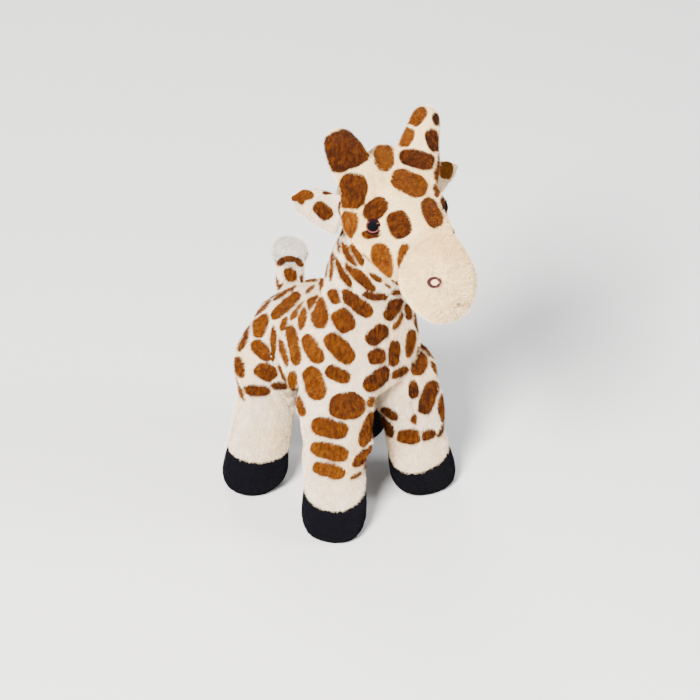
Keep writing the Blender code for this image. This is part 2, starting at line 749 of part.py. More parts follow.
def build_ear(head, side_name):
    side = SIDES[side_name]
    local, length = ear_matrix(side)
    pivot = add_pivot(f"ear_root_{side_name}", (0, 0, 0), head, head_matrix() @ local)
    front = -side
    bead = bmesh.new()
    turn = Matrix.Rotation(QUARTER, 4, "X")
    bmesh.ops.create_cone(bead, cap_ends=True, segments=SMALL_SIDES, radius1=EAR_BEAD_RADIUS,
                          radius2=EAR_BEAD_RADIUS, depth=EAR_WIDTH, matrix=turn)
    layer = EAR_FABRIC * front
    gap = SEAM / 2 * front
    leaf = ear_leaf(length, -gap, -gap - layer, front)
    back = add_object(f"ear_back_{side_name}", leaf, PRINTED, pivot)
    bead_guide = add_guide(f"ear_bead_{side_name}", bead, pivot)
    step = back.modifiers.new("bead", "BOOLEAN")
    step.operation = "UNION"
    step.solver = "EXACT"
    step.object = bead_guide
    lining = ear_leaf(length, gap, gap + layer, front, 1)
    add_object(f"ear_lining_{side_name}", lining, CREAM, pivot)
    slot = bmesh.new()
    radius = EAR_BEAD_RADIUS + SEAT
    bmesh.ops.create_cone(slot, cap_ends=True, segments=SMALL_SIDES * 2, radius1=radius,
                          radius2=radius, depth=EAR_WIDTH + 2 * SEAT, matrix=turn)
    return add_guide(f"ear_slot_{side_name}", slot, pivot)


def disc_on(place, outward, radius, hole_share=0.0):
    """A low stitched patch, or a ring where it has a hole, on a surface at a place."""
    mesh_data = bmesh.new()
    up = Z - outward * np.dot(Z, outward)
    up = up / np.linalg.norm(up)
    side = np.cross(up, outward)
    middle, top = THREAD_LIFT + THREAD / 2, THREAD_LIFT + THREAD
    levels = [(1.0, THREAD_LIFT), (1.0, middle), (THREAD_CROWN_SHARE, top)]
    if hole_share:
        levels += [(hole_share, middle), (hole_share, THREAD_LIFT)]
    rings = []
    for share, height in levels:
        ring = []
        for index in range(SMALL_SIDES):
            angle = 2 * math.pi * index / SMALL_SIDES
            spoke = side * math.cos(angle) + up * math.sin(angle)
            ring.append(mesh_data.verts.new(place + spoke * radius * share + outward * height))
        rings.append(ring)
    for low, high in zip(rings, rings[1:]):
        join_rings(mesh_data, low, high, True)
    if hole_share:
        join_rings(mesh_data, rings[-1], rings[0], True)
    else:
        mesh_data.faces.new(rings[0])
        mesh_data.faces.new(rings[-1])
    return close(mesh_data)


def on_surface(form, ahead, rise_share, side):
    """The place and outward direction on a head form, so far ahead and so high on its side."""
    angle = math.asin(rise_share)
    angle = angle if side > 0 else math.pi - angle
    for index in range(len(form.rows) - 1):
        near, far = -form.rows[index].centre[1], -form.rows[index + 1].centre[1]
        if near <= ahead <= far:
            share = (ahead - near) / (far - near)
            place = form.point(index, angle) * (1 - share) + form.point(index + 1, angle) * share
            way = form.outward(index, angle) * (1 - share) + form.outward(index + 1, angle) * share
            return place, way / np.linalg.norm(way)
    raise ValueError("the place lies beyond the form")


def build_head(neck):
    head_turn = add_pivot("head_turn", NECK_TOP, neck)
    head = add_pivot("head_frame", (0, 0, 0), head_turn, head_matrix())
    form, muzzle = head_form(), muzzle_form()
    clearance = neck_clearance(neck)
    slots = [build_ear(head, name) for name in SIDES]
    last = len(form.rows) - 1

    def forehead_half(index):
        return math.pi * FOREHEAD_ANGLE_SHARE * math.sin(QUARTER * index / last) if index else 0.0

    spans = {"head_side_left": lambda index: (-QUARTER, QUARTER - forehead_half(index)),
             "head_side_right": lambda index: (QUARTER + forehead_half(index), 3 * QUARTER)}
    for name, span in spans.items():
        panel = cover_of(form, FABRIC, FOREHEAD_SIDES, span=span)
        cut(add_object(name, panel, PRINTED, head), clearance, *slots)
    forehead = cover_of(form, FABRIC, FOREHEAD_SIDES,
                        span=lambda index: (QUARTER - forehead_half(index),
                                            QUARTER + forehead_half(index)))
    add_object("forehead_gusset", forehead, PRINTED, head)
    add_object("muzzle_cover", cover_of(muzzle, FABRIC, HEAD_FILLING_SIDES), CREAM, head)
    seam, start = form.rows[-1], muzzle.rows[0]
    narrow = Row(seam.centre, min(seam.across, start.across), min(seam.above, start.above),
                 min(seam.below, start.below))
    whole = Form(form.rows[:-1] + [narrow] + muzzle.rows[1:])
    core = body_of(whole, FABRIC + FILLING_GAP, HEAD_FILLING_SIDES)
    cut(add_object("head_stuffing", core, FILLING, head), clearance, *slots)
    skull = add_guide("skull_guide", body_of(form, -SEAT, HEAD_SIDES), head)
    for side_name, side in SIDES.items():
        build_horn(head, skull, side_name, side)
        place, outward = on_surface(form, EYE_AHEAD, EYE_RISE_SHARE, side)
        eye = disc_on(place, outward, EYE_RADIUS)
        add_object(f"eye_{side_name}", eye, THREAD_DARK, head)
        place, outward = on_surface(muzzle, NOSTRIL_AHEAD, NOSTRIL_RISE_SHARE, side)
        nostril = disc_on(place, outward, NOSTRIL_RADIUS, NOSTRIL_HOLE_SHARE)
        add_object(f"nostril_{side_name}", nostril, THREAD_DARK, head)


def build_horn(head, skull, side_name, side):
    horn = horn_form(side)
    cover = add_object(f"horn_{side_name}", cover_of(horn, FABRIC, SMALL_SIDES), PRINTED, head)
    cut(cover, skull)
    core = body_of(horn, FABRIC + FILLING_GAP, CORE_SIDES)
    cut(add_object(f"horn_stuffing_{side_name}", core, FILLING, head), skull)


def build_tail(torso):
    root = np.array(TAIL_ROOT)
    pivot = add_pivot("tail_root", root, torso)
    form, tassel = tail_form(), tassel_form()
    cover = cover_of(form, FABRIC, SMALL_SIDES, 1)
    add_object("tail_cover", move(cover, -root), PRINTED, pivot)
    core = body_of(form, FABRIC + FILLING_GAP, CORE_SIDES)
    add_object("tail_stuffing", move(core, -root), FILLING, pivot)
    tip = move(cover_of(tassel, FABRIC, SMALL_SIDES), -root)
    add_object("tail_tassel", tip, WHITE, pivot)
    swing = (-TAIL_SWING_BACK, TAIL_SWING_FORWARD)
    return swing_guide(torso, "tail_socket", form, root, swing, len(form.rows) - 1, SMALL_SIDES)


def main():
    empty_scene()
    torso = add_pivot("torso", (0, 0, 0))
    guides = [build_leg(torso, end, side) for end in ("front", "rear") for side in SIDES]
    neck, neck_socket = build_neck(torso)
    guides.append(neck_socket)
    build_head(neck)
    guides.append(build_tail(torso))
    build_body(torso, guides)


main()
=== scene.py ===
"""The looks of a plush giraffe calf that stands on four stuffed legs.

Every stuffed piece gets a smooth fabric skin in the place of its plain solid, the skin carries the
printed patches, and a pile of short strands grows on it. The giraffe faces -Y and stands on Z = 0.
Lengths are in metres, and a place in the photograph is in pixels from its upper left corner.
"""

import math
from contextlib import contextmanager

import bmesh
import bpy
import numpy as np
from mathutils import Matrix, Vector, noise
from mathutils.bvhtree import BVHTree


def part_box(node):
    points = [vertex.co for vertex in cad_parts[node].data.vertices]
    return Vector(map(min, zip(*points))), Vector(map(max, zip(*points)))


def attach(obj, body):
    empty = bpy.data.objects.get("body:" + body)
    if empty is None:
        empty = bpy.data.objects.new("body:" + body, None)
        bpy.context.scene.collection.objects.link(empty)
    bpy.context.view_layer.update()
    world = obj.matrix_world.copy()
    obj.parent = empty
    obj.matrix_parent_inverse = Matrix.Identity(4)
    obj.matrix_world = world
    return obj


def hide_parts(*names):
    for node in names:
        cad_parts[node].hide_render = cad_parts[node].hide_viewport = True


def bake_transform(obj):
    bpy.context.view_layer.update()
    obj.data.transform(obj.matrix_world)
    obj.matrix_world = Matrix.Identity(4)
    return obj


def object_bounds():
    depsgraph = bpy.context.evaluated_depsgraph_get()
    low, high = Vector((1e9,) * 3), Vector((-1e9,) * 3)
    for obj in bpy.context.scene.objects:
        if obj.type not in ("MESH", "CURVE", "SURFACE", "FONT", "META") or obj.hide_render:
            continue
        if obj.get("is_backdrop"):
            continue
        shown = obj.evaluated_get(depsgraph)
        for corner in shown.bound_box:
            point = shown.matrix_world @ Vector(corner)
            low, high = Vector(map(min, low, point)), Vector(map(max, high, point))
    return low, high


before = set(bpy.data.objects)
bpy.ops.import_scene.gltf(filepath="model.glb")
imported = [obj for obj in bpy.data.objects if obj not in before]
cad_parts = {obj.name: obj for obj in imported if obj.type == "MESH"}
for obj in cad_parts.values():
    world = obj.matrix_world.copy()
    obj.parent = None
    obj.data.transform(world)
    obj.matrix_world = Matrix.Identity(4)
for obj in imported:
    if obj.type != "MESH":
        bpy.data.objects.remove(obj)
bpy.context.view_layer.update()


# ------------------------------
# Camera. It looks down on the giraffe's right front from two and a half metres, so the near leg
# is only a little larger than the far one. The photograph is 700 pixels square.
photo_size = 700
photo_azimuth = math.radians(-42)
photo_elevation = math.radians(33)
photo_distance = 2.5
photo_target = Vector((0.0, 0.0215, 0.140))
photo_target_pixel = (359.3, 317.3)
photo_focal_pixels = 3800.0
sensor_width = 36.0

toward_camera = Vector((math.sin(photo_azimuth) * math.cos(photo_elevation),
                        -math.cos(photo_azimuth) * math.cos(photo_elevation),
                        math.sin(photo_elevation)))
camera_right = Vector((math.cos(photo_azimuth), math.sin(photo_azimuth), 0.0))
camera_up = toward_camera.cross(camera_right)
camera_place = photo_target + toward_camera * photo_distance


def added(name, data):
    """A new object in the scene, at the origin."""
    thing = bpy.data.objects.new(name, data)
    bpy.context.collection.objects.link(thing)
    return thing


camera_data = bpy.data.cameras.new("camera")
camera_data.sensor_width = sensor_width
camera_data.lens = photo_focal_pixels / photo_size * sensor_width
camera_data.shift_x = (photo_size / 2 - photo_target_pixel[0]) / photo_size
camera_data.shift_y = (photo_target_pixel[1] - photo_size / 2) / photo_size
camera = added("camera", camera_data)
camera.location = camera_place
camera.rotation_euler = (-toward_camera).to_track_quat("-Z", "Y").to_euler()
bpy.context.scene.camera = camera


def sight_line(x, y):
    """The direction from the camera through a place in the photograph."""
    across = (x - photo_target_pixel[0]) / photo_focal_pixels
    down = (y - photo_target_pixel[1]) / photo_focal_pixels
    return (-toward_camera + camera_right * across - camera_up * down).normalized()


# ------------------------------
# Floor and light. A wide pale floor and a plain surround, with one large soft lamp high on the
# giraffe's right, two weaker ones at its left and behind it, and an even sky.
floor_reach = 6.0
floor_colour = (0.40, 0.398, 0.395, 1)
sky_colour = (0.93, 0.95, 1.0, 1)
sky_strength = 0.95
lamp_aim = Vector((0, 0, 0.15))


def new_material(name, roughness):
    """A material and its shader."""
    material = bpy.data.materials.new(name)
    material.use_nodes = True
    shader = material.node_tree.nodes["Principled BSDF"]
    shader.inputs["Roughness"].default_value = roughness
    return material, shader


def soft_lamp(name, place, size, power, tint):
    """A round lamp that faces the giraffe."""
    data = bpy.data.lights.new(name, "AREA")
    data.shape, data.size, data.energy, data.color = "DISK", size, power, tint
    lamp = added(name, data)
    lamp.location = place
    lamp.rotation_euler = (lamp_aim - Vector(place)).to_track_quat("-Z", "Y").to_euler()


floor_mesh = bpy.data.meshes.new("floor")
floor_mesh.from_pydata([(x * floor_reach, y * floor_reach, 0)
                        for x, y in ((-1, -1), (1, -1), (1, 1), (-1, 1))], [], [(0, 1, 2, 3)])
floor_paper, floor_shader = new_material("floor_paper", roughness=0.9)
floor_shader.inputs["Base Color"].default_value = floor_colour
floor_mesh.materials.append(floor_paper)
floor = added("floor", floor_mesh)
floor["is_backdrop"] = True

world = bpy.data.worlds.new("surround")
world.use_nodes = True
sky = world.node_tree.nodes["Background"].inputs
sky["Color"].default_value = sky_colour
sky["Strength"].default_value = sky_strength
bpy.context.scene.world = world

soft_lamp("key_lamp", (-1.35, -0.60, 1.45), size=0.6, power=340, tint=(1.0, 0.97, 0.93))
soft_lamp("side_lamp", (1.0, -1.2, 0.8), size=0.8, power=55, tint=(0.97, 0.98, 1.0))
soft_lamp("back_lamp", (0.7, 1.4, 1.2), size=0.9, power=40, tint=(1.0, 0.98, 0.95))


# ------------------------------
# Stuffed forms. Each one is a closed surface over the solids of several pieces, with the gaps
# between them filled and the inner corners rounded, as fabric lies over tight filling.
form_grain = 0.0022
corner_rounding = 0.0040
head_rounding = 0.0030
form_evening = 30
voxel_evening = 3
evening_steps = (0.50, -0.515)


@contextmanager
def edited(mesh):
    """A mesh opened for editing, and written back afterwards."""
    shape = bmesh.new()
    shape.from_mesh(mesh)
    yield shape
    shape.to_mesh(mesh)
    shape.free()


def solid_arrays(mesh):
    """A mesh's points, edges and point normals."""
    points, normals = np.empty(len(mesh.vertices) * 3), np.empty(len(mesh.vertices) * 3)
    edges = np.empty(len(mesh.edges) * 2, dtype=np.int64)
    mesh.vertices.foreach_get("co", points)
    mesh.edges.foreach_get("vertices", edges)
    mesh.vertex_normals.foreach_get("vector", normals)
    return points.reshape(-1, 3), edges.reshape(-1, 2), normals.reshape(-1, 3)


def put_points(mesh, points):
    mesh.vertices.foreach_set("co", np.ascontiguousarray(points, dtype=np.float32).ravel())
    mesh.update()


def push_out(mesh, push):
    """Move the points of a mesh along their normals."""
    points, edges, normals = solid_arrays(mesh)
    put_points(mesh, points + normals * push)


def finished(mesh, name, kind, inputs=None, **settings):
    """The mesh with one modifier applied, with a node group's inputs set by name."""
    thing = added(name, mesh)
    step = thing.modifiers.new(name, kind)
    for setting, value in settings.items():
        setattr(step, setting, value)
    for item in step.node_group.interface.items_tree if inputs else ():
        if item.name in inputs:
            step[item.identifier] = inputs[item.name]
    depsgraph = bpy.context.evaluated_depsgraph_get()
    result = bpy.data.meshes.new_from_object(thing.evaluated_get(depsgraph))
    bpy.data.objects.remove(thing)
    return result


def connected_part(mesh, near=None):
    """Keep one connected part of a mesh: the largest, or the one that is nearest to a place."""
    points, edges, normals = solid_arrays(mesh)
    label, before = np.arange(len(points)), None
    while before is None or (label != before).any():
        before = label
        low = np.minimum(label[edges[:, 0]], label[edges[:, 1]])
        label = label.copy()
        np.minimum.at(label, edges[:, 0], low)
        np.minimum.at(label, edges[:, 1], low)
        label = label[label]
    if near is None:
        kept = np.bincount(label).argmax()
    else:
        kept = label[np.linalg.norm(points - np.array(near), axis=1).argmin()]
    with edited(mesh) as shape:
        away = [vertex for vertex in shape.verts if label[vertex.index] != kept]
        bmesh.ops.delete(shape, geom=away, context="VERTS")
    return mesh


def evened(points, edges, rounds):
    """Take the facets out of a surface without shrinking it: a step in, then one back out."""
    count = np.bincount(edges.ravel(), minlength=len(points))[:, None]
    ends, others = edges.ravel("F"), edges[:, ::-1].ravel("F")
    for turn in range(rounds):
        for share in evening_steps:
            total = np.stack([np.bincount(ends, points[others, axis], len(points))
                              for axis in range(3)], axis=1)
            points = points + share * (total / count - points)
    return points


def stuffed_form(name, nodes, rounding, rounds=form_evening, grain=form_grain, filler=None):
    """One smooth surface over the solids of some nodes, and over a ball of filling."""
    mesh = bpy.data.meshes.new(name)
    with edited(mesh) as shell:
        for node in nodes:
            shell.from_mesh(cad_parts[node].data)
        if filler:
            bmesh.ops.create_icosphere(shell, subdivisions=3, radius=1.0, matrix=filler)
    for offset in (rounding, -rounding):
        mesh = connected_part(finished(mesh, name, "REMESH", mode="VOXEL", voxel_size=grain))
        points, edges, normals = solid_arrays(mesh)
        put_points(mesh, evened(points, edges, voxel_evening))
        push_out(mesh, offset)
    points, edges, normals = solid_arrays(mesh)
    put_points(mesh, evened(points, edges, rounds))
    return finished(mesh, name, "SUBSURF", levels=1, render_levels=1)


leg_names = [f"{end}_{side}" for end in ("front", "rear") for side in ("left", "right")]
leg_parts = ("leg_outer", "leg_inner", "leg_lower", "hoof", "sole", "leg_stuffing")
body_nodes = ["torso_panel_left", "torso_panel_right", "belly_gusset", "torso_stuffing",
              "neck_cover", "neck_stuffing"]
body_nodes += [f"{part}_{leg}" for leg in leg_names for part in leg_parts]
head_nodes = ["head_side_left", "head_side_right", "forehead_gusset", "muzzle_cover",
              "head_stuffing", "horn_left", "horn_right", "horn_stuffing_left",
              "horn_stuffing_right"]
head_centre = Vector((-0.0022, -0.0052, 0.2424))
head_look = math.radians(-14)
head_nod = math.radians(16)
skull_radii = (0.0270, 0.0270, 0.0290)
head_turn = Matrix.Rotation(head_look, 4, "Z") @ Matrix.Rotation(head_nod, 4, "X")
head_frame = Matrix.Translation(head_centre) @ head_turn
skull_filler = head_frame @ Matrix.Diagonal((*skull_radii, 1.0))

body_form = stuffed_form("body_form", body_nodes, corner_rounding)
head_form = stuffed_form("head_form", head_nodes, head_rounding, filler=skull_filler)


def surface_of(mesh):
    """A mesh as a surface that lines of sight can meet."""
    shape = bmesh.new()
    shape.from_mesh(mesh)
    tree = BVHTree.FromBMesh(shape)
    shape.free()
    return tree


body_surface = surface_of(body_form)
head_surface = surface_of(head_form)


def seen_at(x, y, surface):
    """Where the line of sight through a place in the photograph meets a surface."""
    return surface.ray_cast(camera_place, sight_line(x, y))[:2]


# ------------------------------
# Seams and folds. The cover is sewn from panels, so it is drawn in along each seam and swells a
# little beside it; the neck and the haunches also have folds where the filling is squeezed.
# Each line runs through places in the photograph, laid back onto the surface.

# Depth, width and line of each fold. Those on the haunch, the legs, the neck and the flank come
# on both sides, the chest seam is in the middle, and the head's two are on its right.
chest_seam = (0.0012, 0.0016, ((386, 296), (389, 320), (389, 345), (388, 375), (387, 398)))
side_folds = (
    (0.0028, 0.0026, ((300, 321), (288, 328), (278, 340), (276, 356), (281, 370), (289, 383),
                      (299, 396))),
    (0.0016, 0.0020, ((289, 396), (276, 390), (258, 388), (244, 390))),
    (0.0012, 0.0016, ((366, 402), (369, 415), (370, 430), (366, 446), (364, 462))),
    (0.0012, 0.0016, ((412, 402), (416, 416), (417, 432), (416, 446))),
    (0.0018, 0.0018, ((336, 243), (338, 258), (345, 270), (358, 284), (380, 294))),
    (0.0014, 0.0016, ((330, 256), (333, 272), (340, 284), (354, 292))),
    (0.0016, 0.0018, ((345, 244), (352, 256), (366, 270), (386, 283))),
    (0.0012, 0.0020, ((296, 330), (291, 345), (294, 362), (300, 378))),
    (0.0010, 0.0020, ((308, 322), (304, 336), (303, 350))))
cheek_seam = (0.0010, 0.0014, ((386, 226), (391, 236), (398, 240), (405, 246), (410, 252)))
mouth_fold = (0.0046, 0.0022, ((457, 304), (463, 306), (468, 308), (472, 309)))
bead_share = 0.35
bead_distance = 2.2
muzzle_seam = 0.0590
muzzle_crease_depth = 0.0030
muzzle_crease_width = 0.0024
muzzle_inset = 0.0014
muzzle_inset_length = 0.0090

# Place, reach and move of each swell of the filling: to the right and up in the photograph, and
# level towards the camera. The last three of the body are at the toes.
body_swells = (
    ((268, 316), 0.024, (-0.0034, 0.0030)), ((255, 330), 0.016, (-0.0020, 0.0004)),
    ((409, 326), 0.022, (0.0040, 0.0)), ((437, 412), 0.024, (0.0036, 0.0)),
    ((364, 447), 0.015, (0.0034, 0.0)), ((308, 462), 0.016, (-0.0020, 0.0)),
    ((303, 399), 0.016, (-0.0036, -0.0022)), ((331, 268), 0.016, (-0.0016, 0.0)),
    ((413, 342), 0.015, (0.0036, 0.0)), ((361, 480), 0.014, (-0.0018, 0.0)),
    ((295, 294), 0.016, (0.0, 0.0034)), ((270, 313), 0.014, (-0.0014, 0.0014)),
    ((281, 472), 0.015, (0.0020, 0.0)), ((230, 472), 0.014, (-0.0011, 0.0)),
    ((338, 534), 0.022, (0.0036, 0.0, 0.0)), ((408, 478), 0.026, (-0.0040, 0.0, 0.0056)),
    ((444, 478), 0.016, (-0.0016, 0.0, 0.0)))
head_swells = (
    ((383, 155), 0.015, (0.0, 0.0060)), ((332, 146), 0.013, (-0.0022, 0.0)),
    ((337, 166), 0.015, (-0.0030, 0.0)), ((339, 134), 0.009, (0.0, -0.0018)),
    ((358, 148), 0.010, (0.0018, 0.0)), ((425, 125), 0.022, (-0.0011, 0.0)),
    ((409, 142), 0.014, (-0.0026, 0.0010)), ((437, 197), 0.013, (0.0036, 0.0)),
    ((463, 250), 0.016, (-0.0024, -0.0012)), ((450, 230), 0.011, (0.0018, 0.0)),
    ((428, 312), 0.018, (0.0010, 0.0022)))
level_way = Vector((toward_camera.x, toward_camera.y, 0.0)).normalized()
head_inverse = np.array(head_frame.inverted())


def in_head(points):
    """Places in the head's own frame, where -Y is its nose and +Z its crown."""
    return points @ head_inverse[:3, :3].T + head_inverse[:3, 3]


def line_distance(points, line):
    """How far each point is from a line through some places."""
    nearest = np.full(len(points), np.inf)
    for start, end in zip(line, line[1:]):
        step = end - start
        share = np.clip((points - start) @ step / (step @ step), 0.0, 1.0)
        gap = np.linalg.norm(points - start - share[:, None] * step, axis=1)
        nearest = np.minimum(nearest, gap)
    return nearest


def drawn_in(mesh, surface, fold, both_sides=False):
    """Press a mesh in along a fold and let it swell a little on each side of the fold."""
    depth, width, line = fold
    places = [seen_at(x, y, surface)[0] for x, y in line]
    laid = np.array([place for place in places if place is not None])
    for side in (1.0, -1.0) if both_sides else (1.0,):
        gap = line_distance(solid_arrays(mesh)[0], laid * (side, 1.0, 1.0)) / width
        push = -depth * np.exp(-gap ** 2)
        push += depth * bead_share * np.exp(-(gap - bead_distance) ** 2)
        push_out(mesh, push[:, None])


def nudged(mesh, place, reach, move):
    """Move a surface near a place, less and less out to the reach."""
    points = solid_arrays(mesh)[0]
    gap = np.linalg.norm(points - np.array(place), axis=1) / reach
    share = np.clip(1 - gap ** 2, 0, 1) ** 2
    put_points(mesh, points + share[:, None] * np.array(move))


for form, surface, moves in ((body_form, body_surface, body_swells),
                             (head_form, head_surface, head_swells)):
    for spot, reach, parts in moves:
        ways = zip((camera_right, camera_up, level_way), parts)
        nudged(form, seen_at(*spot, surface)[0], reach,
               sum((way * part for way, part in ways), Vector()))
ahead = -in_head(solid_arrays(head_form)[0])[:, 1] - muzzle_seam
crease = -muzzle_crease_depth * np.exp(-(ahead / muzzle_crease_width) ** 2)
inset = muzzle_inset * np.clip(ahead / muzzle_inset_length, 0, 1)
push_out(head_form, (crease - inset)[:, None])
body_surface = surface_of(body_form)
head_surface = surface_of(head_form)

drawn_in(body_form, body_surface, chest_seam)
for fold in side_folds:
    drawn_in(body_form, body_surface, fold, both_sides=True)
for fold in (cheek_seam, mouth_fold):
    drawn_in(head_form, head_surface, fold)


# ------------------------------
# The print. Rounded brown patches on cream plush. Each patch that the photograph shows has its
# middle, its two half lengths, its turn and its lightness there, and is laid onto the surface;
# the sides that it doesn't show get patches of the same kind, scattered to leave cream between.
# A patch's lightness holds both the print's own tone and the light and shade that fell on it
# there, so it is partly painted light and shade.
body_patches = (
    (332.5, 266, 15.5, 2.9, 95, 30), (328, 268, 9.5, 2.0, 97, 30), (339.5, 245, 8.5, 1.8, 88, 30),
    (349.5, 255, 15.5, 4.8, 62, 30), (357.5, 254, 12.5, 5.0, 62, 34),
    (343.5, 272, 17.5, 4.9, 62, 28), (360, 277, 21.5, 5.6, 42, 27), (376, 277, 9.0, 3.4, 36, 30),
    (387, 285, 4.8, 2.0, 35, 30), (375, 295.5, 14.5, 5.0, 5, 25),
    (395.5, 292.5, 5.2, 4.0, 150, 20), (322, 286, 10.5, 2.8, 86, 40),
    (306, 281.5, 13.5, 2.6, 176, 40), (286, 292, 15.5, 3.4, 145, 36),
    (310, 290, 6.0, 2.6, 138, 45), (335, 296, 8.4, 6.2, 66, 32), (357, 303, 19.5, 8.2, 40, 28),
    (263, 309, 13.5, 3.2, 132, 36), (393, 308, 13.6, 8.2, 115, 24), (286, 306, 19.0, 6.7, 138, 36),
    (297, 311, 13.0, 3.1, 128, 56), (408, 311, 9.0, 5.4, 75, 30), (320, 312, 16.5, 9.0, 85, 40),
    (303, 317, 13.5, 4.7, 100, 50), (344, 320, 12.7, 11.0, 59, 32), (284, 323, 8.0, 3.7, 115, 48),
    (398, 320, 11.5, 3.5, 118, 44), (415.5, 321, 12.0, 2.8, 76, 30),
    (261, 325, 13.5, 7.6, 105, 40), (377, 334, 13.1, 8.8, 140, 18),
    (244.5, 337, 15.5, 4.8, 107, 30), (410, 343, 14.7, 5.8, 96, 36), (294, 345, 21.0, 6.5, 80, 46),
    (262, 350, 12.5, 8.2, 48, 38), (273.5, 343, 19.0, 3.5, 92, 44), (340, 348, 19.1, 10.4, 48, 36),
    (313, 349, 16.4, 8.4, 60, 42), (284, 352, 15.0, 4.0, 74, 46), (377, 356, 9.5, 8.6, 165, 22),
    (393.5, 353.5, 14.5, 7.0, 95, 26), (419, 362, 13.3, 8.4, 100, 26),
    (240, 367, 11.0, 5.4, 75, 28), (434, 367.5, 11.0, 3.0, 62, 44),
    (416, 353.5, 9.5, 2.4, 108, 44), (282, 372, 9.5, 3.0, 70, 50),
    (398.5, 371.5, 10.2, 5.4, 155, 26), (338, 374, 13.7, 8.0, 22, 30),
    (266, 372, 12.0, 8.8, 25, 32), (279, 385, 8.5, 4.4, 12, 16), (377, 378, 17.0, 8.9, 141, 18),
    (293, 380, 10.2, 5.3, 88, 52), (315, 383, 18.0, 10.8, 74, 44), (413.5, 389, 9.8, 5.6, 85, 6),
    (257, 390, 14.0, 5.9, 3, 28), (428, 397, 17.9, 8.5, 109, 20), (371, 401, 6.1, 4.3, 117, 42),
    (300, 405, 12.0, 5.4, 68, 50), (347, 406, 18.2, 14.1, 174, 26), (443, 408, 15.5, 5.8, 83, 28),
    (390, 413, 9.8, 5.4, 35, 20), (383.5, 422, 12.5, 2.9, 67, 24), (414, 418, 5.4, 3.4, 99, 34),
    (367.5, 429, 19.0, 7.2, 108, 38), (330, 428, 19.0, 10.3, 12, 42),
    (442, 429, 10.5, 3.4, 118, 20), (409, 436, 12.6, 8.0, 178, 34), (428, 434, 8.0, 5.4, 155, 26),
    (330, 451, 19.5, 9.0, 13, 46), (364, 455, 16.0, 5.8, 136, 28), (329, 470, 16.8, 7.8, 16, 54),
    (356, 475, 7.5, 2.6, 150, 38))
head_patches = (
    (417, 117, 11.8, 7.8, 134, 38), (435.5, 119, 6.2, 3.8, 76, 0), (407, 136, 11.5, 7.4, 112, 46),
    (433, 140, 12.2, 7.2, 71, 12), (345, 150, 25.0, 20.0, 158, 16), (418, 159, 19.0, 9.6, 13, 12),
    (384, 158, 13.5, 10.6, 95, 50), (409.5, 183, 19.2, 12.0, 26, 42),
    (352.5, 191, 18.8, 14.6, 101, 24), (436.5, 191.5, 9.0, 3.6, 76, 40),
    (376, 209, 13.8, 10.2, 139, 18), (431.5, 213, 16.0, 9.2, 66, 30),
    (349, 224, 14.8, 9.4, 100, 44), (399.5, 224, 14.6, 12.0, 66, 14),
    (371, 234, 9.9, 4.8, 176, 24), (404, 256, 13.0, 6.0, 100, 44), (357, 254, 12.5, 5.0, 60, 34),
    (383, 261, 19.2, 10.8, 79, 46), (442.5, 204, 9.5, 4.2, 76, 12), (448.5, 221, 7.0, 2.6, 58, 30),
    (454, 231, 8.0, 3.8, 60, 30))
full_lightness = 60
steepest_slope = 0.35
longest_slope = 2
middle_tone = 0.5
patch_corner = 2.7
stripe_corner = 1.8
stripe_lengths = (1.2, 2.8)
stripe_half_widths = (4.7, 6.2)
patch_parting = 0.0013
cream_distance = 0.02
seen_facing = (-0.02, 0.10)
patch_reach_share = 1.5
patch_reach_margin = 0.008
least_length = 1e-9
least_size = 1e-6
scatter_tries = 9000
scatter_sizes = 7
scatter_gap = 0.00224
scatter_stretch = (1.0, 1.45)
scatter_squeeze = (0.85, 1.0)
scatter_tones = (0.2, 0.9)
sight_clearance = 0.001
photo_scale = photo_distance / photo_focal_pixels


def in_photo(points):
    """Where places in the scene come in the photograph, across and down."""
    away = points - np.array(camera_place)
    depth = -(away @ np.array(toward_camera))
    across = photo_target_pixel[0] + photo_focal_pixels * (away @ np.array(camera_right)) / depth
    down = photo_target_pixel[1] - photo_focal_pixels * (away @ np.array(camera_up)) / depth
    return np.stack([across, down], axis=1)


def laid_print(patches, surface):
    """Each patch's middle, half axes, normal and tone on a surface, and how it was drawn."""
    laid = []
    for x, y, long_half, wide_half, turn, light in patches:
        middle, normal = seen_at(x, y, surface)
        if middle is None:
            continue
        turn = math.radians(turn)
        axes = []
        for half, way in ((long_half, (math.cos(turn), math.sin(turn))),
                          (wide_half, (-math.sin(turn), math.cos(turn)))):
            flat = (camera_right * way[0] - camera_up * way[1]) * half * photo_scale
            slope = min(flat.dot(normal) / max(toward_camera.dot(normal), steepest_slope),
                        longest_slope * flat.length)
            axes.append(flat - toward_camera * slope)
        laid.append((middle, *axes, normal, light / full_lightness,
                     (x, y, long_half, wide_half, turn)))
    return laid


def rounded_size(along, across, corner):
    """How many half lengths out a place is in a patch with rounded corners."""
    size = (np.abs(along) ** corner + np.abs(across) ** corner) ** (1 / corner)
    return np.maximum(size, least_size)


def corner_of(long_half, wide_half):
    """A wide patch is full at its corners; a long narrow stripe runs out to points."""
    share = (np.interp(long_half / wide_half, stripe_lengths, (0, 1))
             * np.interp(wide_half, stripe_half_widths, (1, 0)))
    return patch_corner + (stripe_corner - patch_corner) * share


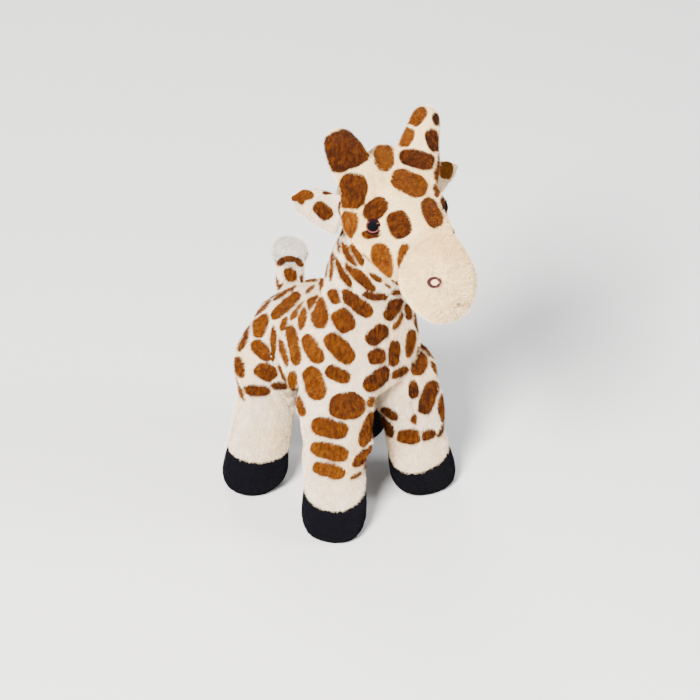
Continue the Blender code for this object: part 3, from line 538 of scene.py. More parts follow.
def patch_field(points, normals, patches, parting=0.0):
    """How far each point is outside the nearest patch's edge, and that patch's tone.

    Where two patches meet, a line of cream as wide as the parting is left between them.
    """
    edge = np.full(len(points), cream_distance)
    second = edge.copy()
    tones = np.full(len(points), middle_tone)
    pixels = in_photo(points)
    seen = np.interp(normals @ np.array(toward_camera), seen_facing, (0.0, 1.0))
    for middle, long_axis, wide_axis, normal, tone, drawn in patches:
        corner = corner_of(drawn[2], drawn[3]) if drawn else patch_corner
        reach = max(long_axis.length, wide_axis.length) * patch_reach_share + patch_reach_margin
        away = points - np.array(middle)
        near = np.abs(away).max(axis=1) < reach
        away = away[near]
        distance = np.linalg.norm(away, axis=1)
        flat = away - np.outer(away @ np.array(normal), np.array(normal))
        flat_length = np.maximum(np.linalg.norm(flat, axis=1), least_length)
        flat = flat * (distance / flat_length)[:, None]
        pair = np.stack([np.array(long_axis), np.array(wide_axis)], axis=1)
        shares = flat @ np.linalg.pinv(pair).T
        outside = distance - distance / rounded_size(shares[:, 0], shares[:, 1], corner)
        if drawn:
            x, y, long_half, wide_half, turn = drawn
            step = pixels[near] - np.array((x, y))
            along = step @ np.array((math.cos(turn), math.sin(turn))) / long_half
            across = step @ np.array((-math.sin(turn), math.cos(turn))) / wide_half
            size = rounded_size(along, across, corner)
            seen_outside = np.linalg.norm(step, axis=1) * (1 - 1 / size) * photo_scale
            outside += seen[near] * (seen_outside - outside)
        places = np.flatnonzero(near)
        better = outside < edge[places]
        second[places] = np.where(better, edge[places], np.minimum(second[places], outside))
        edge[places[better]] = outside[better]
        tones[places[better]] = tone
    if parting:
        edge = np.maximum(edge, (parting - (second - edge)) / 2)
    return edge, tones


def scattered_patches(surface, low, high, patches, allowed, largest, smallest, seed):
    """Patches for the sides that the photograph doesn't show, the largest first."""
    chance = np.random.default_rng(seed)
    hidden, normals = [], []
    for spot in chance.uniform(low, high, (scatter_tries, 3)):
        place, normal = surface.find_nearest(spot)[:2]
        if normal.dot(toward_camera) > 0.0:
            if surface.ray_cast(place + normal * sight_clearance, toward_camera)[0] is None:
                continue
        hidden.append(place)
        normals.append(normal)
    points = np.array(hidden)
    kept = np.flatnonzero(allowed(points))
    points, normals = points[kept], np.array(normals)[kept]
    edge = patch_field(points, normals, patches)[0]
    grown = list(patches)
    for radius in np.linspace(largest, smallest, scatter_sizes):
        for order, (place, normal) in enumerate(zip(points, normals)):
            normal = Vector(normal)
            across = normal.orthogonal()
            across.rotate(Matrix.Rotation(chance.uniform(0, math.pi), 3, normal))
            stretch = chance.uniform(*scatter_stretch)
            squeeze = chance.uniform(*scatter_squeeze)
            tone = chance.uniform(*scatter_tones)
            if edge[order] < radius + scatter_gap:
                continue
            patch = (Vector(place), across * radius * stretch,
                     normal.cross(across) * radius * squeeze, normal, tone, None)
            grown.append(patch)
            edge = np.minimum(edge, patch_field(points, normals, [patch])[0])
    return grown


front_cream_height = 0.0430
rear_cream_height = 0.0720
middle_of_body = 0.045
belly_half_width = 0.0200
belly_top = 0.1000
head_reach_low = Vector((-0.05, -0.05, -0.05))
head_reach_high = Vector((0.05, 0.05, 0.06))


def is_printed_body(points):
    seam = np.where(points[:, 1] < middle_of_body, front_cream_height, rear_cream_height)
    is_belly = (np.abs(points[:, 0]) < belly_half_width) & (points[:, 2] < belly_top)
    return (points[:, 2] > seam) & ~is_belly


def is_printed_head(points):
    return in_head(points)[:, 1] > -muzzle_seam


body_print = scattered_patches(
    body_surface, *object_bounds(), laid_print(body_patches, body_surface), is_printed_body,
    largest=0.0105, smallest=0.0040, seed=4)
head_print = scattered_patches(
    head_surface, head_centre + head_reach_low, head_centre + head_reach_high,
    laid_print(head_patches, head_surface), is_printed_head,
    largest=0.0095, smallest=0.0040, seed=9)


# ------------------------------
# Plush. The printed and the plain cover are one knitted plush: cream, with brown printed through
# the pile where the piece says so, darker towards the roots as painted shade between the strands,
# and a little uneven from strand to strand. The hooves are the same cloth in blue-black.
cream_colours = ((0.950, 0.800, 0.610), (0.600, 0.440, 0.280))
warm_cream_colours = ((0.975, 0.770, 0.450), (0.660, 0.420, 0.180))
white_colours = ((0.640, 0.600, 0.540), (0.500, 0.440, 0.360))
black_colours = ((0.0016, 0.0014, 0.0040), (0.0005, 0.0004, 0.0015))
cream_glow = (1.0, 0.91, 0.72)
brown_dark = (0.030, 0.0055, 0.0006)
brown_middle = (0.120, 0.0300, 0.0018)
brown_light = (0.220, 0.0700, 0.0060)
brown_middle_tone = 0.45
fine_scale, broad_scale, glow_scale = 420.0, 60.0, 24.0
glow_range = (0.45, 0.72)
cloth_share, strand_share = 0.3, 0.7
shade_strength = 0.9
print_tone_share, print_cloth_share, print_strand_share = 0.75, 0.45, 1.4
plush_roughness = 0.92
# Painted shade towards the strands' roots: how light a root stays, on plain and on printed plush.
painted_shade_root_light, printed_painted_shade_root_light = 0.42, 0.22
print_edge_softness = 0.0009
print_edge_raggedness = 0.0012
print_edge_waver = 0.0007
print_edge_waver_scale = 160.0
skin_shade = 0.5
# The skin under the pile counts as near the roots, so it takes most of the painted root shade.
skin_painted_shade_rise = 0.15
pile_settings = {"density": 2.3e6, "length": 0.0020, "radius": 0.00017,
                 "combed": (0.0, 0.35, -0.75), "tuft_size": 0.005, "tuft_spread": 1.4,
                 "spread": 0.30}
clump_scale = 520.0
clump_stretch = (1.0, 1.0, 0.4)
clump_range = (0.35, 0.65)
chance_share, clump_share = 0.35, 0.65
stray_seed, shade_seed, length_seed = 11, 12, 13
strand_length_range = (0.65, 1.15)


def node_link(tree, kind, inputs=(), **settings):
    """A shader or geometry node with its settings, and its inputs linked or set by name."""
    node = tree.nodes.new(kind)
    for setting, value in settings.items():
        setattr(node, setting, value)
    for socket, value in inputs:
        if isinstance(value, bpy.types.NodeSocket):
            tree.links.new(value, node.inputs[socket])
        else:
            node.inputs[socket].default_value = value
    return node


def reckoned(tree, operation, *values):
    """One Math node's result."""
    return node_link(tree, "ShaderNodeMath", enumerate(values), operation=operation).outputs[0]


def moved_vector(tree, operation, first, second):
    """One vector Math node's result."""
    socket = 3 if operation == "SCALE" else 1
    return node_link(tree, "ShaderNodeVectorMath", [(0, first), (socket, second)],
                     operation=operation).outputs["Vector"]


def weighted(tree, first, first_share, second, second_share):
    """The sum of two values, each times its share."""
    return reckoned(tree, "ADD", reckoned(tree, "MULTIPLY", first, first_share),
                    reckoned(tree, "MULTIPLY", second, second_share))


def centred(tree, value):
    return reckoned(tree, "SUBTRACT", value, 0.5)


def noise_value(tree, place, scale, detail):
    return node_link(tree, "ShaderNodeTexNoise", [("Vector", place), ("Scale", scale),
                                                  ("Detail", detail)]).outputs["Fac"]


def stretched(tree, value, low_high):
    """A value with a part of its range stretched to reach from 0 to 1."""
    return node_link(tree, "ShaderNodeMapRange", [("Value", value), ("From Min", low_high[0]),
                                                  ("From Max", low_high[1])]).outputs[0]


def mixed_colour(tree, share, first, second, blend_type="MIX"):
    colours = [(socket, value if isinstance(value, bpy.types.NodeSocket) else (*value, 1))
               for socket, value in ((6, first), (7, second))]
    return node_link(tree, "ShaderNodeMix", [("Factor", share), *colours], data_type="RGBA",
                     blend_type=blend_type).outputs[2]


def surface_value(tree, name):
    return node_link(tree, "ShaderNodeAttribute", attribute_name=name).outputs["Fac"]


def bumpy(tree, shader, height, strength, distance):
    bump = node_link(tree, "ShaderNodeBump", [("Height", height), ("Strength", strength),
                                              ("Distance", distance)])
    tree.links.new(bump.outputs[0], shader.inputs["Normal"])


def plush_material(name, colours, printed):
    """Plush whose colour follows the piece's print, tone, shade and rise attributes."""
    material, shader = new_material(name, plush_roughness)
    tree = material.node_tree
    place = node_link(tree, "ShaderNodeTexCoord").outputs["Object"]
    fine = noise_value(tree, place, fine_scale, detail=3.0)
    uneven = weighted(tree, fine, cloth_share, surface_value(tree, "shade"), strand_share)
    colour = mixed_colour(tree, reckoned(tree, "MULTIPLY", uneven, shade_strength), *colours)
    glow = stretched(tree, noise_value(tree, place, glow_scale, detail=1.0), glow_range)
    colour = mixed_colour(tree, glow, colour, cream_glow, "MULTIPLY")
    # Painted shade: the colour darkens from each strand's tip down to its root, more so in the
    # print.
    root = painted_shade_root_light
    if printed:
        edge = weighted(tree, surface_value(tree, "print"), 1.0, centred(tree, fine),
                        print_edge_raggedness)
        inside = reckoned(tree, "SUBTRACT", 0.5,
                          reckoned(tree, "DIVIDE", edge, print_edge_softness))
        inside = node_link(tree, "ShaderNodeClamp", [("Value", inside)]).outputs[0]
        broad = centred(tree, noise_value(tree, place, broad_scale, detail=3.0))
        # The patch tone is partly the print's own tone and partly painted light and shade.
        tone = weighted(tree, surface_value(tree, "tone"), print_tone_share, broad,
                        print_cloth_share)
        tone = weighted(tree, tone, 1.0, centred(tree, uneven), print_strand_share)
        ramp = node_link(tree, "ShaderNodeValToRGB", [("Fac", tone)])
        stops = ramp.color_ramp.elements
        stops[0].position, stops[0].color = 0.0, (*brown_dark, 1)
        stops[1].position, stops[1].color = 1.0, (*brown_light, 1)
        stops.new(brown_middle_tone).color = (*brown_middle, 1)
        colour = mixed_colour(tree, inside, colour, ramp.outputs["Color"])
        root = reckoned(tree, "ADD", painted_shade_root_light,
                        reckoned(tree, "MULTIPLY", inside, printed_painted_shade_root_light - painted_shade_root_light))
    # The rise, from root to tip, lifts the painted root shade back towards full colour.
    light = reckoned(tree, "ADD", root, reckoned(tree, "MULTIPLY", surface_value(tree, "rise"),
                                                 reckoned(tree, "SUBTRACT", 1.0, root)))
    grey = node_link(tree, "ShaderNodeCombineColor", [(0, light), (1, light), (2, light)])
    colour = mixed_colour(tree, 1.0, colour, grey.outputs[0], "MULTIPLY")
    tree.links.new(colour, shader.inputs["Base Color"])
    shader.inputs["Sheen Weight"].default_value = 0.01
    shader.inputs["Sheen Roughness"].default_value = 0.55
    shader.inputs["Specular IOR Level"].default_value = 0.05
    bumpy(tree, shader, fine, strength=0.5, distance=0.0006)
    return material


printed_plush = plush_material("printed_plush", cream_colours, True)
face_plush = plush_material("face_plush", warm_cream_colours, True)
muzzle_plush = plush_material("muzzle_plush", warm_cream_colours, False)
cream_plush = plush_material("cream_plush", cream_colours, False)
white_plush = plush_material("white_plush", white_colours, True)
black_plush = plush_material("black_plush", black_colours, False)


def store_value(mesh, name, values):
    layer = mesh.attributes.new(name, "FLOAT", "POINT")
    layer.data.foreach_set("value", np.ascontiguousarray(values, dtype=np.float32))


def bare_layer(shape):
    """The face values that say where no pile grows."""
    return shape.faces.layers.float.get("bare") or shape.faces.layers.float.new("bare")


def leave_bare(mesh, is_bare):
    """Leave a mesh without pile on each face whose middle passes a test."""
    with edited(mesh) as shape:
        bare = bare_layer(shape)
        for face in shape.faces:
            if is_bare(face.calc_center_median()):
                face[bare] = 1.0


def cut_form(form, name, planes):
    """The part of a form that lies behind every plane, closed where a plane cut it."""
    mesh = form.copy()
    mesh.name = name
    with edited(mesh) as shape:
        bare = bare_layer(shape)
        for place, outward in planes:
            bmesh.ops.bisect_plane(shape, geom=shape.verts[:] + shape.edges[:] + shape.faces[:],
                                   plane_co=place, plane_no=outward, clear_outer=True)
            rim = [edge for edge in shape.edges if edge.is_boundary]
            caps = bmesh.ops.holes_fill(shape, edges=rim)["faces"]
            for face in bmesh.ops.triangulate(shape, faces=caps)["faces"]:
                face[bare] = 1.0
    return mesh


def smooth_piece(name, mesh):
    """A visible object with a smooth surface."""
    mesh.name = name
    for face in mesh.polygons:
        face.use_smooth = True
    return added(name, mesh)


def dressed(mesh, name, material, patches=(), parting=patch_parting):
    """A finished cover: its print laid on, its material and its object."""
    points, edges, normals = solid_arrays(mesh)
    if patches:
        edge, tone = patch_field(points, normals, patches, parting)
        waver = [noise.noise(Vector(point) * print_edge_waver_scale) for point in points]
        store_value(mesh, "print", edge + np.array(waver) * print_edge_waver)
        store_value(mesh, "tone", tone)
    store_value(mesh, "shade", np.full(len(points), skin_shade))
    # A low rise gives the skin under the pile most of the painted root shade.
    store_value(mesh, "rise", np.full(len(points), skin_painted_shade_rise))
    mesh.materials.clear()
    mesh.materials.append(material)
    return smooth_piece(name, mesh)


def strand_group(name, sockets, strands_on):
    """Geometry Nodes: a group that grows strands of one material on the mesh it is given."""
    tree = bpy.data.node_groups.new(name, "GeometryNodeTree")
    for socket, kind in (("base", "Geometry"), *sockets, ("finish", "Material")):
        tree.interface.new_socket(name=socket, in_out="INPUT", socket_type=f"NodeSocket{kind}")
    tree.interface.new_socket(name=name, in_out="OUTPUT", socket_type="NodeSocketGeometry")
    given = tree.nodes.new("NodeGroupInput").outputs
    real = node_link(tree, "GeometryNodeRealizeInstances", [(0, strands_on(tree, given))])
    done = node_link(tree, "GeometryNodeSetMaterial", [("Geometry", real.outputs[0]),
                                                       ("Material", given["finish"])])
    tree.links.new(done.outputs[0], tree.nodes.new("NodeGroupOutput").inputs[0])
    return tree


def random_value(tree, low, high, seed):
    return node_link(tree, "FunctionNodeRandomValue", [(2, low), (3, high), ("Seed", seed)],
                     data_type="FLOAT").outputs[1]


def stored_value(tree, geometry, name, value):
    return node_link(tree, "GeometryNodeStoreNamedAttribute",
                     [("Geometry", geometry), ("Name", name), ("Value", value)],
                     data_type="FLOAT", domain="POINT").outputs[0]


def pile_strands(tree, given):
    """Strands of pile, scattered where a cover isn't bare and combed one way in loose tufts."""
    bare = node_link(tree, "GeometryNodeInputNamedAttribute", [("Name", "bare")],
                     data_type="FLOAT").outputs[0]
    covered = node_link(tree, "FunctionNodeCompare", [("A", bare), ("B", 0.5)],
                        data_type="FLOAT", operation="LESS_THAN").outputs[0]
    roots = node_link(tree, "GeometryNodeDistributePointsOnFaces",
                      [("Mesh", given["base"]), ("Selection", covered),
                       ("Density", given["density"]), ("Seed", given["seed"])]).outputs
    place = tree.nodes.new("GeometryNodeInputPosition").outputs[0]
    per_metre = reckoned(tree, "DIVIDE", 1.0, given["tuft_size"])
    tufts = node_link(tree, "ShaderNodeTexNoise", [("Vector", place), ("Detail", 1.0),
                                                   ("Scale", per_metre)])
    tuft = moved_vector(tree, "SUBTRACT", tufts.outputs["Color"], (0.5, 0.5, 0.5))
    tuft = moved_vector(tree, "SCALE", tuft, given["tuft_spread"])
    stray = node_link(tree, "FunctionNodeRandomValue",
                      [(0, (-1.0, -1.0, -1.0)), (1, (1.0, 1.0, 1.0)), ("Seed", stray_seed)],
                      data_type="FLOAT_VECTOR").outputs[0]
    stray = moved_vector(tree, "SCALE", stray, given["spread"])
    combed = moved_vector(tree, "ADD", roots["Normal"], given["combed"])
    way = moved_vector(tree, "ADD", combed, moved_vector(tree, "ADD", tuft, stray))
    stand = node_link(tree, "FunctionNodeAlignRotationToVector", [("Vector", way)], axis="Z")
    streaked = moved_vector(tree, "MULTIPLY", place, clump_stretch)
    clump = stretched(tree, noise_value(tree, streaked, clump_scale, detail=1.0), clump_range)
    shade = weighted(tree, random_value(tree, 0.0, 1.0, shade_seed), chance_share, clump,
                     clump_share)
    strand = node_link(tree, "GeometryNodeMeshCone",
                       [("Vertices", 3), ("Radius Top", 0.0), ("Radius Bottom", given["radius"]),
                        ("Depth", given["length"])], fill_type="NGON").outputs["Mesh"]
    # Each strand's rise from root to tip, which sets its painted root shade.
    height = node_link(tree, "ShaderNodeSeparateXYZ", [(0, place)]).outputs["Z"]
    height = reckoned(tree, "DIVIDE", height, given["length"])
    size = node_link(tree, "ShaderNodeCombineXYZ",
                     [("X", 1.0), ("Y", 1.0),
                      ("Z", random_value(tree, *strand_length_range, length_seed))])
    return node_link(tree, "GeometryNodeInstanceOnPoints",
                     [("Points", stored_value(tree, roots["Points"], "shade", shade)),
                      ("Instance", stored_value(tree, strand, "rise", height)),
                      ("Rotation", stand.outputs[0]), ("Scale", size.outputs[0])]).outputs[0]


pile = strand_group("pile", (("density", "Float"), ("length", "Float"), ("radius", "Float"),
                             ("combed", "Vector"), ("tuft_size", "Float"),
                             ("tuft_spread", "Float"), ("spread", "Float"), ("seed", "Int")),
                    pile_strands)


def grown_pile(cover, name, seed, keep_side=0, **changes):
    """The pile of one cover as a mesh of its own, or of its half on one side of X = 0."""
    inputs = {**pile_settings, "seed": seed, "finish": cover.data.materials[0], **changes}
    mesh = cover.data.copy()
    if keep_side:
        with edited(mesh) as shape:
            away = [face for face in shape.faces if face.calc_center_median().x * keep_side < 0]
            bmesh.ops.delete(shape, geom=away, context="FACES")
    mesh = finished(mesh, name, "NODES", inputs, node_group=pile)
    points = solid_arrays(mesh)[0]
    points[:, 2] = np.maximum(points[:, 2], 0.0)
    put_points(mesh, points)
    mesh.name = name
    return added(name, mesh)


# ------------------------------
# Torso cover. Two printed side panels and a cream belly, stuffed firm. It carries the root of the
# neck and the tops of the legs, which are cut where each of them starts to bend.
neck_cut_place = Vector((0.0, 0.0225, 0.1325))
neck_way_out = Vector((0.0, -0.474, 0.880)).normalized()
leg_cut_place = Vector((0.0, 0.0, 0.0790))
up = Vector((0.0, 0.0, 1.0))
torso_mesh = cut_form(body_form, "torso_cover", [(neck_cut_place, neck_way_out),
                                                 (leg_cut_place, -up)])
torso_cover = dressed(torso_mesh, "torso_cover", printed_plush, body_print)
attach(torso_cover, "torso")
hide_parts("torso_panel_left", "torso_panel_right", "belly_gusset",
            "torso_stuffing")
sides = (("left", 1), ("right", -1))
for side_name, side in sides:
    strands = grown_pile(torso_cover, f"torso_pile_{side_name}", seed=20 + side, keep_side=side)
    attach(strands, "torso")


# ------------------------------
# Neck cover. A printed tube, stuffed firm and sewn round the neck opening of the torso.
neck_tube = dressed(cut_form(body_form, "neck_tube", [(neck_cut_place, -neck_way_out)]),
                    "neck_tube", printed_plush, body_print)
neck_pile = grown_pile(neck_tube, "neck_pile", seed=23)
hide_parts("neck_cover", "neck_stuffing")
for part in (neck_tube, neck_pile):
    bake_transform(part)


# ------------------------------
# Legs. Each one is printed down to a seam, cream below it, and ends in a black hoof sewn on along
# a seam that is lowest in front. Its hoof is attached to the leg's body.
leg_foot_height = 0.01
hoof_half = 0.0125
hoof_pile = {"length": 0.0009, "density": 4.0e6}

# Heights of the cream's and the hoof's seams, and the slope of the hoof's.
end_seams = {"front": (front_cream_height, 0.0266, 0.27),
             "rear": (rear_cream_height, 0.0300, 0.04)}

legs_mesh = cut_form(body_form, "legs", [(leg_cut_place, up)])
for leg in leg_names:
    cream_top, hoof_seam, hoof_slope = end_seams[leg.split("_")[0]]
    sole_low, sole_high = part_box(f"sole_{leg}")
    foot_x, foot_y = ((sole_low + sole_high) / 2)[:2]
    body = f"leg_{leg}"
    whole = connected_part(legs_mesh.copy(), (foot_x, foot_y, leg_foot_height))
    hoof_seam_way = (up + level_way * hoof_slope).normalized()
    hoof_top = Vector((foot_x, foot_y, hoof_seam)) + level_way * hoof_half
    upper = dressed(cut_form(whole, "leg_upper", [(up * cream_top, -up)]), f"leg_upper_{leg}",
                    printed_plush, body_print)
    lower = dressed(cut_form(whole, "leg_cuff", [(up * cream_top, up),
                                                 (hoof_top, -hoof_seam_way)]),
                    f"leg_cuff_{leg}", cream_plush)
    foot = dressed(cut_form(whole, "hoof_cover", [(hoof_top, hoof_seam_way)]),
                   f"hoof_cover_{leg}", black_plush)
    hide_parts(f"leg_outer_{leg}", f"leg_inner_{leg}", f"leg_stuffing_{leg}")
    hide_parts(f"leg_lower_{leg}")
    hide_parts(f"hoof_{leg}", f"sole_{leg}")
    for piece, slot in ((upper, "printed_plush"), (lower, "cream_plush")):
        strands = grown_pile(piece, piece.name + "_pile", seed=30)
        for part in (piece, strands):
            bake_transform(part)
    strands = grown_pile(foot, foot.name + "_pile", seed=31, **hoof_pile)
    for part in (foot, strands):
        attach(part, body)


# ------------------------------
# Embroidery. The eyes and the nostrils are satin stitch: each is a fan of thread laid over the
# plush, black in the pupil, rose in the crescent beside it and maroon round both.
thread_radius = 0.00026
thread_sides = 6
eye_spot = (374.3, 226.2)
pupil_half = (6.2, 5.5)
pupil_crown = 0.0014
pupil_side_fall, pupil_end_fall = 0.7, 0.6
pupil_columns = np.arange(-0.95, 0.96, 0.1)
pupil_rows = np.linspace(-1, 1, 7)
eye_bare_radius = 0.0050
nostril_spot = (435.0, 282.0)
nostril_bare_radius = 0.0036
left_nostril_shift = Vector((0.0050, 0.0060, -0.0065))
left_eye_shift = Vector((0.0, -0.0040, 0.0034))

# Half size in the photograph, inner and outer share of it, first and last angle, and lift.
crescent_ring = ((5.6, 5.0), 1.04, 1.24, 20, 236, 0.0009)
brow_ring = ((5.0, 5.3), 0.96, 1.44, 178, 360, 0.0008)
lid_ring = ((5.5, 5.0), 1.28, 1.62, 35, 150, 0.0006)
nostril_ring = ((7.1, 5.6), 0.54, 1.0, 0, 360, 0.0009)
ring_step = 5
twist_scale = 1500.0
twist_lightness = 1.9


def thread_material(name, colour, roughness=0.75):
    """Matt thread, a little lighter along its twist."""
    material, shader = new_material(name, roughness)
    tree = material.node_tree
    place = node_link(tree, "ShaderNodeTexCoord").outputs["Object"]
    twist = noise_value(tree, place, twist_scale, detail=2.0)
    lighter = tuple(min(1.0, value * twist_lightness) for value in colour)
    tree.links.new(mixed_colour(tree, twist, colour, lighter), shader.inputs["Base Color"])
    shader.inputs["Specular IOR Level"].default_value = 0.03
    bumpy(tree, shader, twist, strength=0.4, distance=0.0002)
    return material


black_thread = thread_material("black_thread", (0.0005, 0.0005, 0.0010), roughness=0.70)
dark_maroon_thread = thread_material("dark_maroon_thread", (0.0040, 0.0009, 0.0010))
maroon_thread = thread_material("maroon_thread", (0.018, 0.0052, 0.0060))
rose_thread = thread_material("rose_thread", (0.060, 0.018, 0.015))


def round_threads(tree, given):
    """A round thread along every edge of a wire."""
    path = node_link(tree, "GeometryNodeMeshToCurve", [("Mesh", given["base"])])
    profile = node_link(tree, "GeometryNodeCurvePrimitiveCircle",
                        [("Resolution", thread_sides), ("Radius", given["radius"])])
    return node_link(tree, "GeometryNodeCurveToMesh",
                     [("Curve", path.outputs[0]), ("Profile Curve", profile.outputs[0]),
                      ("Fill Caps", True)]).outputs[0]


thread = strand_group("thread", (("radius", "Float"),), round_threads)


def stitched(name, stitches, material):
    """Embroidery: a round thread along each stitch, which is a row of places."""
    points, wires = [], []
    for stitch in stitches:
        first = len(points)
        points += stitch
        wires += [(first + step, first + step + 1) for step in range(len(stitch) - 1)]
    mesh = bpy.data.meshes.new(name)
    mesh.from_pydata(points, wires, [])
    inputs = {"radius": thread_radius, "finish": material}
    work = smooth_piece(name, finished(mesh, name, "NODES", inputs, node_group=thread))
    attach(work, "head")
    return work


def on_head(spot, side, across=0.0, down=0.0, lift=0.0, shift=left_eye_shift):
    """A place on the head by its place in the photograph, or its counterpart on the left."""
    place, normal = seen_at(spot[0] + across, spot[1] + down, head_surface)
    if side == 1:
        local = head_frame.inverted() @ place
        local.x = -local.x
        place, normal = head_surface.find_nearest(head_frame @ (local + shift))[:2]
    return place + normal * (lift + thread_radius)


def ring_stitches(spot, side, ring, shift=left_eye_shift):
    """Short stitches across a ring, or across a part of it between two angles."""
    half, inner, outer, first, last, lift = ring
    turns = [math.radians(angle) for angle in np.arange(first, last, ring_step)]
    return [[on_head(spot, side, math.cos(turn) * half[0] * share,
                     math.sin(turn) * half[1] * share, lift, shift)
             for share in np.linspace(inner, outer, 3)] for turn in turns]


def pupil_stitches(side):
    """Stitches from the top to the bottom of the pupil, which stands out at its middle."""
    stitches = []
    for across in pupil_columns:
        half = math.sqrt(1 - across ** 2)
        stitches.append([on_head(eye_spot, side, across * pupil_half[0],
                                 high * half * pupil_half[1],
                                 pupil_crown * (1 - high ** 2 * pupil_end_fall)
                                 * (1 - across ** 2 * pupil_side_fall))
                         for high in pupil_rows])
    return stitches


for side_name, side in sides:
    crescent, brow, lid = [ring_stitches(eye_spot, side, ring)
                           for ring in (crescent_ring, brow_ring, lid_ring)]
    pupil = stitched(f"eye_pupil_{side_name}", pupil_stitches(side), black_thread)
    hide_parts(f"eye_{side_name}")
    stitched(f"eye_crescent_{side_name}", crescent, rose_thread)
    stitched(f"eye_outline_{side_name}", brow + lid, dark_maroon_thread)
    nostril = stitched(f"nostril_ring_{side_name}",
                       ring_stitches(nostril_spot, side, nostril_ring, left_nostril_shift),
                       maroon_thread)
    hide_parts(f"nostril_{side_name}")


# ------------------------------
# Head cover and muzzle. The head is printed and round; the muzzle is plain cream with a longer
# pile, sewn on in front of it and stuffed as firm. Both are bare under the embroidery.
muzzle_plane = head_frame @ Vector((0.0, -muzzle_seam, 0.0))
muzzle_way = head_turn @ Vector((0.0, -1.0, 0.0))
muzzle_pile = {"length": 0.0030, "combed": (0.1, 0.5, -0.2)}
horn_root = Vector((0.0165, -0.0028, 0.0180))
horn_tip = Vector((0.0338, 0.0204, 0.0552))
horn_seam = 0.0145
horn_cuts = {}
for side_name, side in sides:
    root, tip = [Vector((place.x * side, place.y, place.z)) for place in (horn_root, horn_tip)]
    way = head_turn @ (tip - root).normalized()
    horn_cuts[side_name] = (head_frame @ root + way * horn_seam, way, head_frame @ tip)
head_mesh = cut_form(head_form, "head_cover",
                     [(muzzle_plane, muzzle_way), *[cut[:2] for cut in horn_cuts.values()]])
muzzle_mesh = cut_form(head_form, "muzzle_skin", [(muzzle_plane, -muzzle_way)])
for mesh, spot, shift, radius in (
        (head_mesh, eye_spot, left_eye_shift, eye_bare_radius),
        (muzzle_mesh, nostril_spot, left_nostril_shift, nostril_bare_radius)):
    for side in (1, -1):
        stitches_middle = on_head(spot, side, shift=shift)
        leave_bare(mesh, lambda middle: (middle - stitches_middle).length < radius)
head_cover = dressed(head_mesh, "head_cover", face_plush, head_print)
muzzle_skin = dressed(muzzle_mesh, "muzzle_skin", muzzle_plush)
for piece, slot, changes in ((head_cover, "printed_plush", {}),
                             (muzzle_skin, "cream_plush", muzzle_pile)):
    strands = grown_pile(piece, piece.name + "_pile", seed=40, **changes)
    for part in (piece, strands):
        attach(part, "head")
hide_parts("head_side_left", "head_side_right", "forehead_gusset", "head_stuffing")
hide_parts("muzzle_cover")


# ------------------------------
# Horns. Two blunt printed cones, stuffed and sewn onto the top of the head. They are cut from the
# head's form, which rounds off the corner where they stand on it.
for side_name, (place, way, tip) in horn_cuts.items():
    horn = connected_part(cut_form(head_form, "horns", [(place, -way)]), tip)
    horn = dressed(horn, f"horn_cover_{side_name}", face_plush, head_print)
    strands = grown_pile(horn, horn.name + "_pile", seed=41)
    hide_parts(f"horn_{side_name}", f"horn_stuffing_{side_name}")
    for part in (horn, strands):
        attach(part, "head")


# ------------------------------
# Ears. Each is two leaves of plush sewn edge to edge and not stuffed: the leaf in front is
# printed, and the longer cream pile of the other shows past its lower edge.
ear_patches = (
    (300, 195.5, 14.0, 5.6, 176, 40), (301, 200, 5.0, 4.0, 40, 40),
    (323, 210.5, 11.0, 8.0, 45, 22), (327, 193, 5.0, 2.0, 5, 20), (340, 208, 7.0, 2.0, 88, 12),
    # On the far ear, lightness 75 is past full: painted light that lifts the patch out of the
    # shade it lies in.
    (446, 169, 9.8, 6.8, 95, 75))
ear_rounding = 0.0006
ear_evening = 6
ear_grain = 0.0009
ear_leaf_gap = 0.0014
ear_pile_length = 0.0016
ear_rim_pile_length = 0.0024
right_ear_tip_reach = 0.034
right_ear_tip_rise = 0.0048
left_ear_shift = 0.0014

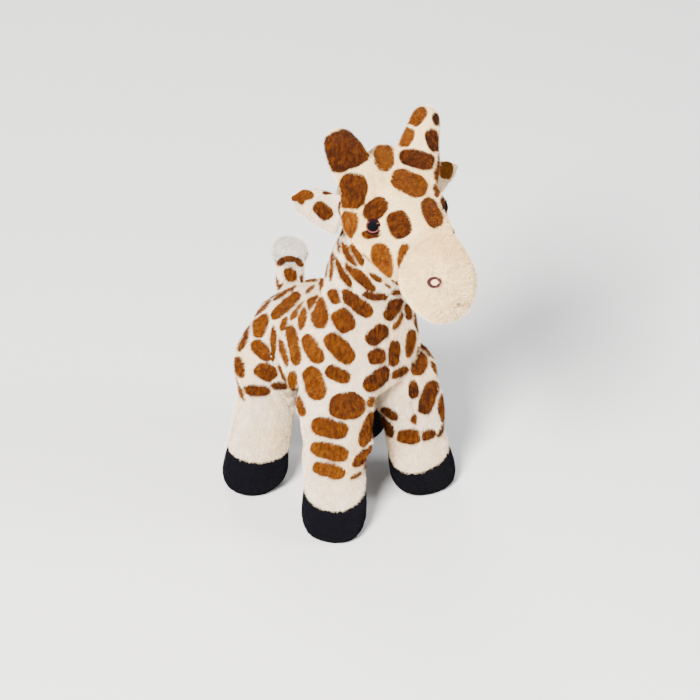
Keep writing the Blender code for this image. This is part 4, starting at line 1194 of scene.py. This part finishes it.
for side_name in ("left", "right"):
    nodes = (f"ear_back_{side_name}", f"ear_lining_{side_name}")
    forms = [stuffed_form(node, [node], ear_rounding, ear_evening, ear_grain) for node in nodes]
    for form in forms:
        points = solid_arrays(form)[0]
        if side_name == "right":
            ear_tip = points[points[:, 0].argmin()]
            nudged(form, ear_tip, right_ear_tip_reach, up * right_ear_tip_rise)
        else:
            put_points(form, points + np.array(camera_right) * left_ear_shift)
    surfaces = [surface_of(form) for form in forms]
    for form, other in zip(forms, reversed(surfaces)):
        leave_bare(form,
                   lambda middle: other.find_nearest(middle, ear_leaf_gap)[0] is not None)
    leaf = dressed(forms[0], f"ear_leaf_{side_name}", printed_plush,
                   laid_print(ear_patches, surfaces[0]), parting=0.0)
    rim = dressed(forms[1], f"ear_rim_{side_name}", cream_plush)
    for piece, node, slot, length in ((leaf, nodes[0], "printed_plush", ear_pile_length),
                                      (rim, nodes[1], "cream_plush", ear_rim_pile_length)):
        strands = grown_pile(piece, piece.name + "_pile", seed=42, length=length)
        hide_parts(node)
        for part in (piece, strands):
            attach(part, f"ear_{side_name}")


# ------------------------------
# Tail. A printed stuffed tube that stands up from the rump and ends in a round tuft of longer
# white pile with one printed band across it.
tail_patches = (
    (290.5, 274, 7.6, 6.4, 70, 34), (277, 275, 5.0, 1.4, 100, 30), (281, 286, 5.0, 1.9, 125, 30),
    (301, 278, 5.0, 1.7, 90, 24), (281.5, 261.5, 5.2, 3.2, 142, 30), (290, 259, 7.0, 3.2, 2, 30),
    (298.5, 262, 5.2, 3.2, 44, 30))
tail_rounding = 0.0020
tail_evening = 12
tail_grain = 0.0014
tuft_bottom = 0.1545
tuft_middle = Vector((0.0, 0.0865, 0.1790))
tuft_reach = 0.024
tuft_move = up * -0.0054 - camera_right * 0.0018
tuft_pile = {"length": 0.0022, "combed": (0.0, 0.0, 0.15)}
tail_low = Vector((-0.02, 0.07, 0.11))
tail_high = Vector((0.02, 0.12, 0.18))

tail_form = stuffed_form("tail_form", ["tail_cover", "tail_stuffing", "tail_tassel"],
                         tail_rounding, tail_evening, tail_grain)
nudged(tail_form, tuft_middle, tuft_reach, tuft_move)
tail_surface = surface_of(tail_form)
tail_print = scattered_patches(
    tail_surface, tail_low, tail_high, laid_print(tail_patches, tail_surface),
    lambda points: points[:, 2] < tuft_bottom, largest=0.0050, smallest=0.0028, seed=6)
tube = dressed(cut_form(tail_form, "tail_tube", [(up * tuft_bottom, up)]), "tail_tube",
               printed_plush, tail_print, parting=0.0)
tuft = dressed(cut_form(tail_form, "tail_tuft", [(up * tuft_bottom, -up)]), "tail_tuft",
               white_plush, tail_print, parting=0.0)
tube_pile = grown_pile(tube, "tail_tube_pile", seed=50)
tuft_strands = grown_pile(tuft, "tail_tuft_pile", seed=50, **tuft_pile)
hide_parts("tail_cover", "tail_stuffing")
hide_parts("tail_tassel")
for part in (tube, tube_pile):
    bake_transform(part)
for part in (tuft, tuft_strands):
    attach(part, "tail")
